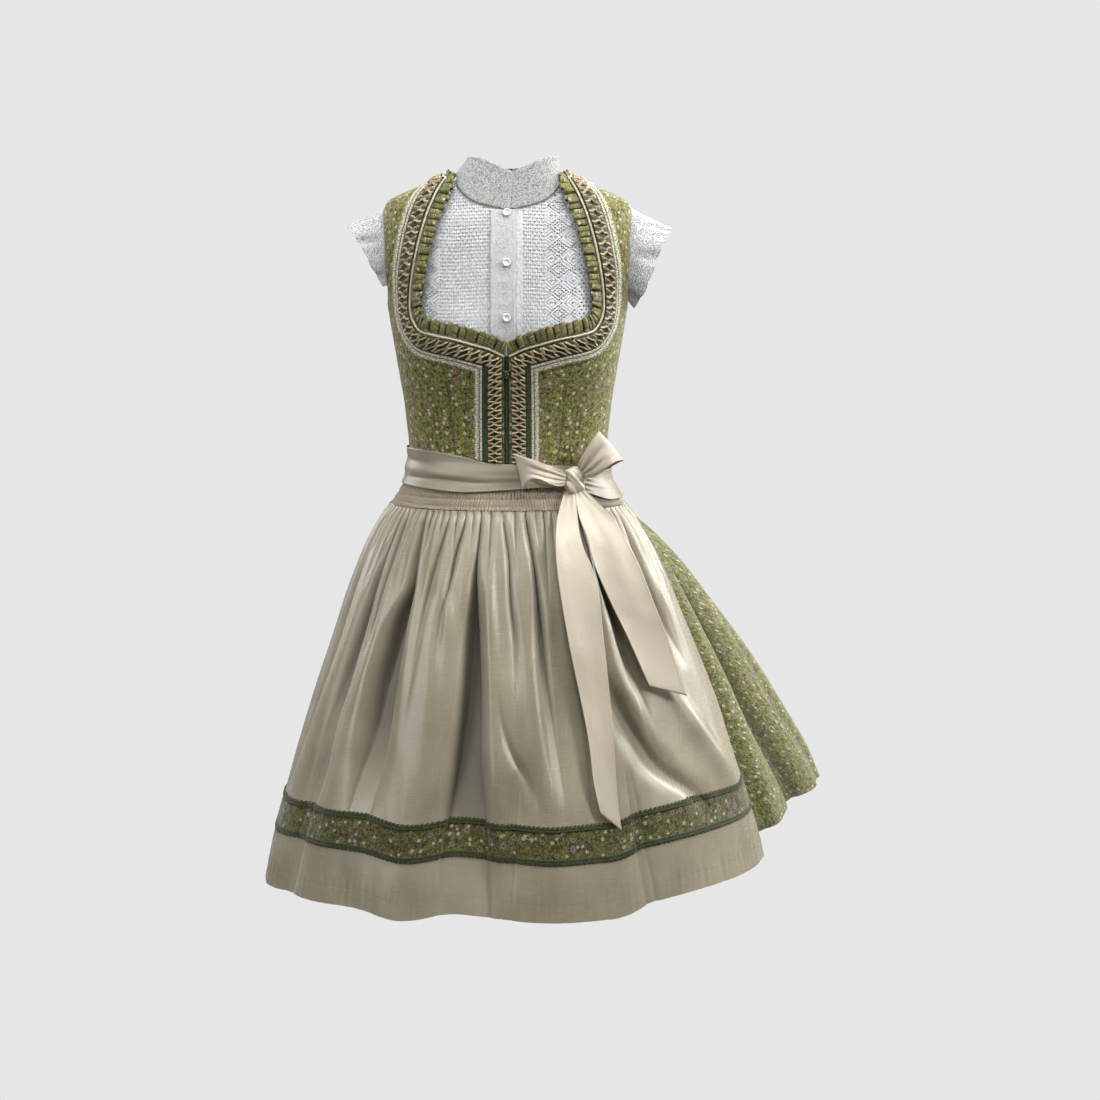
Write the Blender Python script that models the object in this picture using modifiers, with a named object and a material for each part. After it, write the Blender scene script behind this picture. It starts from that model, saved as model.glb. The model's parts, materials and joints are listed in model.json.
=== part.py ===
"""A worn dirndl: lace blouse, laced-trim bodice with its skirt, and an apron tied in a bow at the front.

Metres, +Z up, the front faces -Y and +X is the wearer's left. The origin lies midway between
the shoulder straps. Each piece of cloth is a wall of its own, laid on a general hollow figure.
"""

import math

import bmesh
import bpy
import numpy as np
from mathutils import Matrix, Vector
from mathutils.bvhtree import BVHTree

MM = 0.001

# The hollow figure that the clothes are cut for, from the neck down to the hips.
FIGURE = (
    # height, half width, front depth, back depth
    (-0.470, 0.168, 0.122, 0.122),
    (-0.440, 0.155, 0.112, 0.112),
    (-0.420, 0.142, 0.102, 0.100),
    (-0.390, 0.131, 0.093, 0.088),
    (-0.345, 0.132, 0.092, 0.084),
    (-0.290, 0.138, 0.097, 0.087),
    (-0.236, 0.147, 0.105, 0.092),
    (-0.194, 0.154, 0.109, 0.097),
    (-0.152, 0.161, 0.105, 0.101),
    (-0.100, 0.171, 0.095, 0.102),
    (-0.050, 0.169, 0.080, 0.094),
    (-0.026, 0.157, 0.069, 0.085),
    (-0.005, 0.110, 0.062, 0.075),
    (0.012, 0.072, 0.057, 0.062),
    (0.030, 0.062, 0.054, 0.056),
)
CUP_OUT, CUP_HEIGHT, CUP_RISE = 0.078, -0.205, 0.014
CUP_WIDE, CUP_TALL = 0.048, 0.052
SECTION_POWER = 0.86

# Layers, as heights above the figure.
BLOUSE_LIFT, BLOUSE_BACK_LIFT, BLOUSE_WALL = -2.0 * MM, -7.6 * MM, 1.0 * MM
BLOUSE_OUT = BLOUSE_LIFT + BLOUSE_WALL
BODICE_LIFT, BODICE_WALL = 2.8 * MM, 1.8 * MM
TRIM_LIFT, TRIM_WALL = 5.7 * MM, 1.0 * MM
SKIRT_LIFT, SKIRT_WALL = 2.9 * MM, 1.5 * MM
BAND_LIFT, BAND_WALL, BAND_RIB = 5.6 * MM, 1.8 * MM, 1.0 * MM
SASH_LIFT, SASH_WALL = 9.8 * MM, 1.6 * MM
SASH_ON_BODICE = 6.2 * MM
SEAM = 0.3 * MM

# Bodice: half of the neckline, from centre front to the shoulder seam.
ZIP_HALF = 3.6 * MM
NECKLINE = (
    # half width, height
    (0.0040, -0.2280),
    (0.0220, -0.2195),
    (0.0450, -0.2125),
    (0.0700, -0.2055),
    (0.0930, -0.2010),
    (0.1110, -0.1950),
    (0.1210, -0.1800),
    (0.1240, -0.1600),
    (0.1230, -0.1350),
    (0.1180, -0.1000),
    (0.1100, -0.0650),
    (0.0990, -0.0320),
    (0.0880, -0.0110),
    (0.0790, 0.0010),
)
SHOULDER_NECK_HEIGHT = 0.0080
ARMHOLE_HEIGHT, ARMHOLE_TALL, ARMHOLE_WIDE = -0.0950, 0.0700, math.radians(21)
WAIST_HEIGHT = -0.3870
PRINCESS_SEAM = (
    # height, half width
    (-0.3870, 0.0640),
    (-0.3410, 0.0690),
    (-0.2670, 0.0780),
    (-0.2350, 0.0850),
    (-0.2000, 0.0940),
)
BACK_NECKLINE = (
    # half width, height
    (0.0740, 0.0040),
    (0.0790, -0.0050),
    (0.0860, -0.0240),
    (0.0830, -0.0430),
    (0.0680, -0.0560),
    (0.0380, -0.0630),
    (0.0004, -0.0650),
)
SLIDER_HEIGHT, SLIDER_SIZE = -0.2520, (0.0080, 0.0028, 0.0095)

# Trims along the neckline and down the front: distance from the neckline, distance from centre front.
PIPING_AT, PIPING_RADIUS = 0.4 * MM, 1.5 * MM
RIBBON_IN, RIBBON_OUT = (3.9 * MM, 6.2 * MM), (23.5 * MM, 32.0 * MM)
BRAID_IN, BRAID_OUT = (4.2 * MM, 6.8 * MM), (21.0 * MM, 24.5 * MM)
LACE_IN, LACE_OUT = (23.9 * MM, 32.4 * MM), (34.0 * MM, 42.0 * MM)
BRAID_ON_NECK, BRAID_ON_FRONT, BRAID_RISE = 21, 9, 2.4 * MM
RUFFLE_WIDE, RUFFLE_WAVES, RUFFLE_SWING = 18 * MM, 28, 2.5 * MM
RUFFLE_LIFT = 3.4 * MM

# Sash: upper and lower edge round the waist.
SASH_AT_FRONT = -0.3730
SASH = (
    # angle from centre front, upper edge, lower edge
    (-180, -0.3590, -0.4180),
    (-90, -0.3550, -0.4090),
    (-42, -0.3575, -0.4120),
    (-21, -0.3640, -0.4145),
    (-7, -0.3725, -0.4125),
    (16, -0.3740, -0.4080),
    (40, -0.3780, -0.4150),
    (62, -0.3850, -0.4300),
    (90, -0.3850, -0.4300),
    (180, -0.3590, -0.4180),
)
BAND_TOP, BAND_BOTTOM, BAND_RIBS = -0.3880, -0.4375, 34
APRON_ENDS = (-97, 86)

# Skirt and apron: the ring below the band flares to the hem.
YOKE = 0.10
FLARE_TOP = BAND_BOTTOM - SEAM
FLARE = (
    # share of the drop, share of the spread
    (0.00, 0.00),
    (0.08, 0.13),
    (0.20, 0.29),
    (0.35, 0.45),
    (0.55, 0.65),
    (0.75, 0.82),
    (0.90, 0.94),
    (1.00, 1.00),
)
APRON_HEM = (
    # angle from centre front, distance from the axis, height
    (-97, 0.338, -0.956),
    (-80, 0.338, -0.952),
    (-60, 0.316, -0.948),
    (-44, 0.291, -0.947),
    (-30, 0.274, -0.956),
    (-15, 0.262, -0.946),
    (0, 0.260, -0.951),
    (15, 0.264, -0.955),
    (30, 0.275, -0.955),
    (44, 0.292, -0.938),
    (60, 0.316, -0.931),
    (75, 0.342, -0.928),
    (86, 0.354, -0.926),
)
SKIRT_HEM = (
    # angle from centre front, distance from the axis, height
    (-180, 0.300, -0.925),
    (-135, 0.290, -0.940),
    (-90, 0.304, -0.940),
    (-45, 0.238, -0.935),
    (0, 0.212, -0.935),
    (45, 0.240, -0.925),
    (84, 0.318, -0.915),
    (97, 0.386, -0.888),
    (114, 0.497, -0.858),
    (130, 0.430, -0.872),
    (150, 0.345, -0.900),
    (180, 0.300, -0.925),
)
APRON_FOLDS = (
    # angle at the band, angle at the hem, width, first share of the drop, depth halfway, depth at the hem
    (-90, -87, 5.0, 0.05, 0.008, 0.006),
    (-76, -78, 4.0, 0.10, -0.010, -0.008),
    (-62, -66, 5.0, 0.05, 0.012, 0.010),
    (-48, -54, 5.0, 0.00, -0.020, -0.006),
    (-36, -42, 5.0, 0.05, 0.012, 0.010),
    (-27, -28, 5.0, 0.10, 0.010, 0.012),
    (-20, -14, 5.0, 0.00, -0.024, -0.020),
    (-8, -3, 5.0, 0.05, 0.010, 0.006),
    (5, 9, 5.0, 0.10, 0.010, 0.008),
    (17, 22, 4.5, 0.00, -0.016, -0.006),
    (28, 32, 5.0, 0.05, 0.010, 0.012),
    (42, 47, 5.0, 0.02, -0.018, -0.010),
    (58, 58, 6.0, 0.10, 0.012, 0.006),
    (72, 70, 5.0, 0.15, -0.006, -0.008),
)
SKIRT_FOLDS = (
    # angle at the waist, angle at the hem, width, first share of the drop, depth halfway, depth at the hem
    (98, 104, 4.0, 0.10, -0.010, -0.016),
    (122, 127, 5.0, 0.00, -0.018, -0.022),
    (138, 142, 6.0, 0.05, 0.014, 0.018),
    (154, 156, 5.0, 0.00, -0.016, -0.020),
    (168, 169, 6.0, 0.05, 0.014, 0.018),
    (183, 182, 5.0, 0.00, -0.016, -0.020),
    (198, 196, 6.0, 0.05, 0.014, 0.018),
    (214, 211, 5.0, 0.00, -0.016, -0.020),
    (230, 227, 6.0, 0.05, 0.012, 0.016),
    (246, 243, 5.0, 0.00, -0.014, -0.018),
    (258, 257, 5.0, 0.10, 0.010, 0.010),
)
GATHERS, GATHER_SWING = 22, 3.6 * MM
APRON_WALL, HEM_BAND_WALL = 1.2 * MM, 1.0 * MM
HEM_BAND = (0.772, 0.852)
EDGING_TALL, EDGING_WALL = 8.0 * MM, 1.2 * MM
APRON_DROP = 0.53
APRON_COLUMNS = 4 * GATHERS
APRON_LEVELS = (0, 1 - HEM_BAND[1], 1 - HEM_BAND[0], 0.46, 0.68, 0.83, 0.92, 0.97, 1)
SKIRT_LEVELS = (0, 0.38, 0.64, 0.80, 0.90, 0.95, 1)

# Collar: base seam round the neck, upper edge, and how far it leans in.
COLLAR = (
    # angle from centre front, base height, upper height
    (0, -0.0345, 0.0130),
    (10, -0.0270, 0.0190),
    (25, -0.0115, 0.0265),
    (45, 0.0030, 0.0320),
    (62, 0.0095, 0.0335),
    (90, 0.0140, 0.0340),
    (180, 0.0155, 0.0330),
)
COLLAR_TOP_HALF, COLLAR_TOP_FRONT, COLLAR_TOP_BACK = 0.0605, 0.0500, 0.0530
COLLAR_WALL, COLLAR_GAP = 1.3 * MM, 1.6 * MM
BLOUSE_HEM = -0.300
PLACKET, PLACKET_LOW = (-0.0215, 0.0120), -0.2130
SLEEVE_INSET, BLOUSE_BACK_INSET = -4.0 * MM, -7.0 * MM
BUTTON_HEIGHTS, BUTTON_RADIUS, BUTTON_THICK = (-0.0415, -0.1070, -0.1790), 5.6 * MM, 3.0 * MM

# Cap sleeves: how far the cloth stands out round the armhole.
SLEEVES = {
    "left": (
        # angle round the armhole from the top, towards the front, and length
        (-104, 0.014),
        (-82, 0.036),
        (-50, 0.052),
        (0, 0.063),
        (50, 0.056),
        (100, 0.036),
        (150, 0.014),
    ),
    "right": (
        (-112, 0.012),
        (-90, 0.028),
        (-45, 0.050),
        (0, 0.060),
        (45, 0.050),
        (90, 0.028),
        (128, 0.010),
    ),
}

# Bow: seen from the front, in X and Z.
KNOT_ANGLE, KNOT_HEIGHT, KNOT_SIZE = 34.5, -0.4000, (0.030, 0.018, 0.038)
BOW_LOOPS = {
    # direction in degrees from +X towards +Z, length, width at the knot and at the tip, half depth
    "right": dict(turn=171, long=0.062, near=0.018, far=0.038, deep=0.0085),
    "left": dict(turn=52, long=0.052, near=0.018, far=0.052, deep=0.0085),
}
TAILS = {
    "long": (
        # height, edge towards the wearer's right, edge towards the wearer's left
        (-0.4480, 0.0660, 0.0945),
        (-0.4770, 0.0650, 0.1010),
        (-0.5230, 0.0690, 0.1190),
        (-0.5990, 0.0820, 0.1280),
        (-0.6750, 0.0980, 0.1360),
        (-0.7260, 0.1080, 0.1410),
        (-0.7770, 0.1140, 0.1450),
        (-0.8180, 0.1230, 0.1510),
    ),
    "short": (
        (-0.4400, 0.0960, 0.1380),
        (-0.4650, 0.1060, 0.1550),
        (-0.5030, 0.1160, 0.1750),
        (-0.5550, 0.1390, 0.1960),
        (-0.5980, 0.1600, 0.2160),
        (-0.6630, 0.1890, 0.2400),
    ),
}
TAIL_CUT = {"long": 0.024, "short": 0.016}
TAIL_STARTS = {
    # edges at the knot, from its centre
    "long": (-18.5 * MM, -0.2 * MM),
    "short": (0.2 * MM, 17.0 * MM),
}
TAIL_WALL, TAIL_CLEAR = 1.2 * MM, 0.8 * MM


# ---------- curves through the tables ----------


def through(table, column, at, turn=None):
    """The smooth curve through one column of a table, read at any value of its first column."""
    rows = np.array(table, float)
    rows = rows[np.argsort(rows[:, 0])]
    xs, ys = rows[:, 0], rows[:, column]
    at = np.asarray(at, float)
    if turn:
        at = xs[0] + np.mod(at - xs[0], turn)
    step = np.diff(xs)
    slope = np.diff(ys) / step
    middle = (slope[:-1] * step[1:] + slope[1:] * step[:-1]) / (step[:-1] + step[1:])
    steepest = 3 * np.minimum(abs(slope[:-1]), abs(slope[1:]))
    middle = np.where(slope[:-1] * slope[1:] > 0, np.clip(middle, -steepest, steepest), 0)
    ends = (slope[0], slope[-1]) if not turn else ((slope[0] + slope[-1]) / 2,) * 2
    tangent = np.concatenate([ends[:1], middle, ends[1:]])
    i = np.clip(np.searchsorted(xs, at) - 1, 0, len(xs) - 2)
    t = np.clip((at - xs[i]) / step[i], 0, 1)
    return (
        (1 + 2 * t) * (1 - t) ** 2 * ys[i]
        + t * (1 - t) ** 2 * step[i] * tangent[i]
        + t * t * (3 - 2 * t) * ys[i + 1]
        + t * t * (t - 1) * step[i] * tangent[i + 1]
    )


def ease(t):
    t = np.clip(t, 0, 1)
    return t * t * (3 - 2 * t)


def read(path, share):
    """Rows of a path, or of any table, at shares of its count of rows."""
    at = share * (len(path) - 1)
    return np.stack([np.interp(at, np.arange(len(path)), column) for column in path.T], -1)


# ---------- the figure ----------


def figure(angle, height):
    """A point of the figure. Angle 0 is centre front and a quarter turn is the wearer's left side."""
    angle, height = np.broadcast_arrays(np.asarray(angle, float), np.asarray(height, float))
    half, front, back = (through(FIGURE, column, height) for column in (1, 2, 3))
    s, c = np.sin(angle), np.cos(angle)
    x = half * np.sign(s) * abs(s) ** SECTION_POWER
    y = -np.where(c > 0, front, back) * np.sign(c) * abs(c) ** SECTION_POWER
    cup = CUP_RISE * np.exp(-(((abs(x) - CUP_OUT) / CUP_WIDE) ** 2) - ((height - CUP_HEIGHT) / CUP_TALL) ** 2)
    return np.stack([x, y - cup * np.clip(3 * c, 0, 1), height], -1)


def slopes(angle, height):
    e = 1e-4
    across = (figure(angle + e, height) - figure(angle - e, height)) / (2 * e)
    down = (figure(angle, height + e) - figure(angle, height - e)) / (2 * e)
    return across, down


def lay(angle, height, lift):
    """A point of the figure moved out by lift along its normal."""
    across, down = slopes(angle, height)
    normal = np.cross(across, down)
    normal /= np.linalg.norm(normal, axis=-1, keepdims=True)
    return figure(angle, height) + normal * np.asarray(lift, float)[..., None]


def angle_at(x, height):
    """The front angle where the figure is x from the centre plane."""
    share = np.clip(abs(np.asarray(x, float)) / through(FIGURE, 1, height), 0, 0.9999)
    return np.sign(x) * np.arcsin(share ** (1 / SECTION_POWER))


def beside(path, distance):
    """A path of (angle, height) rows moved sideways over the figure, to the left of its direction."""
    path = np.array(path, float)
    points = figure(path[:, 0], path[:, 1])
    reach = 7
    row = np.arange(len(points))
    forward = points[np.minimum(row + reach, len(points) - 1)] - points[np.maximum(row - reach, 0)]
    steps = 6
    for _ in range(steps):
        across, down = slopes(path[:, 0], path[:, 1])
        side = np.cross(np.cross(across, down), forward)
        side *= (np.asarray(distance) / steps / np.linalg.norm(side, axis=1))[..., None]
        for row, (a, d, s) in enumerate(zip(across, down, side)):
            path[row] += np.linalg.lstsq(np.stack([a, d], 1), s, rcond=None)[0]
    return path


# ---------- scene and mesh helpers ----------


def material(name, colour, roughness, metallic=0.0):
    made = bpy.data.materials.new(name)
    made.use_nodes = True
    surface = made.node_tree.nodes["Principled BSDF"]
    surface.inputs["Base Color"].default_value = (*colour, 1)
    surface.inputs["Roughness"].default_value = roughness
    surface.inputs["Metallic"].default_value = metallic
    made.diffuse_color = (*colour, 1)
    return made


def add(name, mesh, surface):
    obj = bpy.data.objects.new(name, mesh)
    mesh.materials.append(surface)
    PARTS.objects.link(obj)
    return obj


def grid(columns, rows, place):
    """A grid whose points are placed by a function of the shares (across, up).

    Rows is their number, or the share where each row's line lies.
    """
    levels = np.linspace(0, 1, rows + 1) if isinstance(rows, int) else np.array(rows)
    shape = bmesh.new()
    bmesh.ops.create_grid(shape, x_segments=columns, y_segments=len(levels) - 1, size=0.5)
    across = np.array([v.co.x + 0.5 for v in shape.verts])
    up = read(levels[:, None], np.array([v.co.y + 0.5 for v in shape.verts]))[:, 0]
    for vert, point in zip(shape.verts, place(across, up)):
        vert.co = point
    return shape


def mirror(shape, side):
    """Turns a piece for the wearer's left into the one for the right."""
    if side < 0:
        bmesh.ops.scale(shape, vec=(-1, 1, 1), verts=shape.verts)
        bmesh.ops.reverse_faces(shape, faces=shape.faces)


def finished(name, shape, surface, side=1):
    bmesh.ops.triangulate(shape, faces=shape.faces, quad_method="FIXED", ngon_method="BEAUTY")
    mirror(shape, side)
    mesh = bpy.data.meshes.new(name)
    shape.to_mesh(mesh)
    shape.free()
    return add(name, mesh, surface)


def cloth(name, columns, rows, place, wall, surface, middle=False, side=1):
    """A wall of even thickness that grows outwards from the placed grid, or to both sides of it."""
    shape = grid(columns, rows, place)
    obj = finished(name, shape, surface, side)
    solid = obj.modifiers.new("Wall", "SOLIDIFY")
    solid.thickness = wall
    solid.offset = 0 if middle else 1
    return obj


def raised(name, columns, rows, inner, outer, surface, side=1):
    """A wall whose outer points carry relief over a plain inside."""
    shape = grid(columns, rows, outer)
    shares = np.array([(i, j) for j in np.linspace(0, 1, rows + 1) for i in np.linspace(0, 1, columns + 1)])
    copied = bmesh.ops.duplicate(shape, geom=shape.verts[:] + shape.edges[:] + shape.faces[:])
    pairs = {a: b for a, b in copied["vert_map"].items()}
    backs = [e for e in copied["geom"] if isinstance(e, bmesh.types.BMFace)]
    originals = [v for v in shape.verts if v in pairs][: len(shares)]
    for vert, point in zip(originals, inner(shares[:, 0], shares[:, 1])):
        pairs[vert].co = point
    bmesh.ops.reverse_faces(shape, faces=backs)
    fronts = {v for v in originals}
    rims = [e for e in shape.edges if e.is_boundary and e.verts[0] in fronts]
    for edge in rims:
        loop = edge.link_loops[0]
        a, b = loop.vert, loop.link_loop_next.vert
        shape.faces.new((b, a, pairs[a], pairs[b]))
    return finished(name, shape, surface, side)


def tube(name, points, radius, surface):
    """A round cord along a list of points."""
    curve = bpy.data.curves.new(name, "CURVE")
    curve.dimensions = "3D"
    curve.bevel_depth = radius
    curve.bevel_resolution = 0
    curve.use_fill_caps = True
    line = curve.splines.new("POLY")
    line.points.add(len(points) - 1)
    for place, point in zip(line.points, points):
        place.co = (*point, 1)
    return add(name, curve, surface)


# ---------- neckline, armhole and seams ----------


def armhole(turn, grow=0.0):
    """(angle, height) rows round the left armhole; turn 0 is the top and a quarter turn the front."""
    return np.stack(
        [
            math.pi / 2 - (ARMHOLE_WIDE + grow * 6) * np.sin(turn),
            ARMHOLE_HEIGHT + (ARMHOLE_TALL + grow) * np.cos(turn),
        ],
        -1,
    )


def sash_edge(angle, column):
    degrees = (np.degrees(angle) + 180) % 360 - 180
    return through(SASH, column, degrees)


# ---------- skirt and apron ----------


def folds(table, start, end, degrees, share):
    """How far the large folds stand out of the flare; start and end are the columns' own angles."""
    out = np.zeros(np.broadcast(degrees, share).shape)
    for top, hem, wide, first, halfway, low in table:
        centre = top + (hem - top) * share
        deep = ease((share - first) / (0.5 - first)) * (halfway + (low - halfway) * ease(2 * share - 1))
        out = out + deep * np.exp(-(((degrees - centre) / wide) ** 2))
    return out * ease((degrees - start) / 4) * ease((end - degrees) / 4)


def gathers(degrees, share, swing, pitch):
    """Uneven small gathers that fade out below the band."""
    phase = 2 * math.pi * degrees / pitch + 0.9 * np.sin(np.radians(degrees) * 5.3 + 1)
    depth = 0.75 + 0.25 * np.sin(np.radians(degrees) * 11 + 2)
    fade = ease(share / 0.05) * (1 - ease((share - 0.12) / 0.42))
    return swing * depth * fade * np.sin(phase)


def flared(hem_table, degrees, share, lift, out):
    """A point between the ring under the band and the hem."""
    angle = np.radians(degrees)
    ring = lay(angle, np.full(np.shape(angle), FLARE_TOP), lift)
    wrapped = (degrees + 180) % 360 - 180 if hem_table is SKIRT_HEM else degrees
    radius, height = (through(hem_table, column, wrapped) for column in (1, 2))
    away = np.stack([np.sin(angle), -np.cos(angle), np.zeros_like(angle)], -1)
    hem = radius[..., None] * away
    hem[..., 2] = height
    spread = through(FLARE, 1, share)
    point = ring + (hem - ring) * spread[..., None]
    point[..., 2] = ring[..., 2] + (hem[..., 2] - ring[..., 2]) * share
    return point + away * np.asarray(out)[..., None]


def skirt_panel(name, start, end, columns, surface):
    """Skirt between two angles: a yoke under the sash that follows the figure, then the flare."""


    def place(u, v):
        down = 1 - v
        degrees = start + (end - start) * u
        around = degrees % 360
        share = np.clip((down - YOKE) / (1 - YOKE), 0, 1)
        out = folds(SKIRT_FOLDS, 90, 270, around, share)
        inside = ease((around - 92) / 6) * ease((266 - around) / 6)
        out = out + gathers(degrees, share, 2.4 * MM, 9.0) * inside
        flare = flared(SKIRT_HEM, degrees, share, SKIRT_LIFT, out)
        top = WAIST_HEIGHT - 3 * SEAM
        height = top + (FLARE_TOP - top) * np.clip(down / YOKE, 0, 1)
        yoke = lay(np.radians(degrees), height, SKIRT_LIFT)
        return np.where((down < YOKE)[:, None], yoke, flare)

    return cloth(name, columns, SKIRT_LEVELS, place, SKIRT_WALL, surface)


def apron_point(across, share):
    degrees = APRON_ENDS[0] + (APRON_ENDS[1] - APRON_ENDS[0]) * across
    pitch = (APRON_ENDS[1] - APRON_ENDS[0]) / GATHERS
    out = folds(APRON_FOLDS, APRON_ENDS[0] - 6, APRON_ENDS[1] + 6, degrees, share)
    out = out + gathers(degrees, share, GATHER_SWING, pitch)
    return flared(APRON_HEM, degrees, share, BAND_LIFT + 2.6 * MM, out)


def apron_above(lift):
    """The apron's surface moved out by lift, as a function of the share across and the share of the drop."""

    def place(across, share):
        e = 2e-3
        right, left = np.clip(across + e, 0, 1), np.clip(across - e, 0, 1)
        low, high = np.clip(share + e, 0, 1), np.clip(share - e, 0, 1)
        normal = np.cross(
            apron_point(right, share) - apron_point(left, share),
            apron_point(across, high) - apron_point(across, low),
        )
        normal /= np.linalg.norm(normal, axis=-1, keepdims=True)
        return apron_point(across, share) + normal * lift

    return place


def apron_strip(name, first, last, lift, wall, surface):
    """A strip sewn on the apron between two shares of the drop."""
    place = apron_above(lift)
    span = first - last
    return cloth(name, APRON_COLUMNS, 1, lambda u, v: place(u, last + span * v), wall, surface)


def apron(surface, printed, green):
    made = [
        cloth(
            "apron_panel",
            APRON_COLUMNS,
            APRON_LEVELS,
            lambda u, v: apron_point(u, 1 - v),
            APRON_WALL,
            surface,
        )
    ]
    on_panel = APRON_WALL + SEAM
    made.append(apron_strip("apron_hem_band", *HEM_BAND, on_panel, HEM_BAND_WALL, printed))
    on_band = on_panel + HEM_BAND_WALL + SEAM
    half = EDGING_TALL / 2 / APRON_DROP
    for name, share in zip(("upper", "lower"), HEM_BAND):
        span = (share - half, share + half)
        made.append(apron_strip(f"apron_edging_{name}", *span, on_band, EDGING_WALL, green))
    return made


def apron_band(surface):
    """The shirred band: fine upright ribs over a plain back."""
    start, end = np.radians(APRON_ENDS)

    def at(u, v, lift):
        height = BAND_BOTTOM + (BAND_TOP - BAND_BOTTOM) * v
        return lay(start + (end - start) * u, height, lift)

    def outer(u, v):
        rib = (1 - np.cos(2 * math.pi * BAND_RIBS * u)) / 2
        return at(u, v, BAND_LIFT + BAND_WALL + BAND_RIB * rib)

    return raised("apron_band", BAND_RIBS * 2, 2, lambda u, v: at(u, v, BAND_LIFT), outer, surface)


# ---------- sash and bow ----------


def sash(surface):
    """One ribbon round the waist; its two ends meet under the knot."""
    start = math.radians(KNOT_ANGLE + 0.4) - 2 * math.pi
    end = math.radians(KNOT_ANGLE - 0.4)

    def place(u, v):
        angle = start + (end - start) * u
        low, high = sash_edge(angle, 2), sash_edge(angle, 1)
        height = low + (high - low) * v
        degrees = (np.degrees(angle) + 180) % 360 - 180
        over_band = ease((degrees + 118) / 12) * ease((108 - degrees) / 12)
        lift = SASH_ON_BODICE + (SASH_LIFT - SASH_ON_BODICE) * over_band * ease((-0.3700 - height) / 0.0150)
        return lay(angle, height, lift)

    return cloth("sash", 56, (0, 0.55, 1), place, SASH_WALL, surface)


def supports(objects):
    """The frontmost Y of some finished objects near a place seen from the front."""
    bpy.context.view_layer.update()
    graph = bpy.context.evaluated_depsgraph_get()
    trees = [BVHTree.FromObject(obj, graph) for obj in objects]

    def frontmost(x, height, reach, fallback):
        found = fallback
        for dx in np.linspace(-reach, reach, 5):
            for dz in np.linspace(-reach, reach, 5):
                for tree in trees:
                    hit = tree.ray_cast(Vector((x + dx, -1, height + dz)), Vector((0, 1, 0)))[0]
                    if hit:
                        found = min(found, hit.y)
        return found

    return frontmost


def knot(surface):
    middle = lay(math.radians(KNOT_ANGLE), KNOT_HEIGHT, SASH_LIFT + SASH_WALL + 6 * SEAM + KNOT_SIZE[1] / 2)
    shape = bmesh.new()
    bmesh.ops.create_uvsphere(shape, u_segments=12, v_segments=7, radius=0.5)
    mesh = bpy.data.meshes.new("knot")
    shape.to_mesh(mesh)
    shape.free()
    obj = add("bow_knot", mesh, surface)
    turn = Matrix.Rotation(math.radians(KNOT_ANGLE * 0.7), 4, "Z")
    obj.matrix_world = Matrix.Translation(middle) @ turn @ Matrix.Diagonal((*KNOT_SIZE, 1))
    return Vector(middle)


def bow_loop(name, middle, frontmost, surface, turn, long, near, far, deep):
    """A ribbon that leaves the knot in front, turns at its tip and comes back behind."""
    direction = np.array([math.cos(math.radians(turn)), 0, math.sin(math.radians(turn))])
    across = np.array([-direction[2], 0, direction[0]])
    start = 0.5 / math.hypot(direction[0] / KNOT_SIZE[0], direction[2] / KNOT_SIZE[2]) + 0.6 * MM
    apart = 2.2 * MM
    stations = np.linspace(0, 1, 6)
    depths = []
    for share in stations:
        x, _, height = np.array(middle) + direction * (start + long * share)
        behind = deep * math.sin(math.pi * min(share + 0.02, 1)) + apart + 2.4 * MM
        depths.append(min(frontmost(x, height, 0.016, middle.y + 0.02) - behind, middle.y))
    rows = np.column_stack([stations, depths])

    def place(u, v):
        out = (1 - np.cos(2 * math.pi * u)) / 2
        wide = near + (far - near) * out**0.8
        centre = through(rows, 1, out)
        thick = deep * np.sin(2 * math.pi * u) + apart * np.cos(math.pi * u)
        point = np.array(middle) + direction * (start + long * out)[:, None]
        point = point + across * (wide * (v - 0.5))[:, None]
        point[:, 1] = centre - thick
        return point

    return cloth(f"bow_loop_{name}", 18, 2, place, TAIL_WALL, surface, middle=True)


def bow_tail(name, rows, start, cut, middle, frontmost, surface):
    """A free end of the ribbon that leaves the knot's lower end and lies on the apron."""
    foot = middle.z - KNOT_SIZE[2] / 2 - SEAM
    rows = ((foot, middle.x + start[0], middle.x + start[1]), *rows)
    shares = np.linspace(0, 1, len(rows))
    heights, rights, lefts = (np.array([row[k] for row in rows]) for k in range(3))
    behind = []
    for height, right, left in rows:
        xs = np.linspace(right, left, 3)
        behind.append([frontmost(x, height, 0.013, -0.09) - TAIL_CLEAR - TAIL_WALL for x in xs])
    behind = np.array(behind)
    behind[0] = middle.y

    def column(values, v):
        return through(np.column_stack([shares, values]), 1, v)

    def place(u, v):
        v = 1 - v
        height = column(heights, v) - cut * u * ease((v - 0.6) / 0.4)
        right, left = column(rights, v), column(lefts, v)
        first, centre, last = (column(behind[:, k], v) for k in range(3))
        half = 2 * u - 1
        y = centre + (np.where(half < 0, first, last) - centre) * abs(half)
        return np.stack([right + (left - right) * u, y, height], -1)

    return cloth(f"bow_tail_{name}", 3, len(rows) + 3, place, TAIL_WALL, surface)


# ---------- panels between four edges ----------

# Where the rows of each panel lie, as shares from its lower to its upper edge.
SIDE_LEVELS = (0, 0.15, 0.30, 0.43, 0.48, 0.52, 0.56, 0.60, 0.66, 0.75, 0.84, 0.92, 1)
BACK_LEVELS = (0, 0.14, 0.29, 0.44, 0.58, 0.70, 0.80, 0.88, 0.95, 1)
BLOUSE_LEVELS = (0, 0.20, 0.40, 0.55, 0.68, 0.78, 0.86, 0.93, 1)
BLOUSE_BACK_LEVELS = (0, 0.26, 0.50, 0.66, 0.77, 0.85, 0.91, 0.96, 1)


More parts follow.
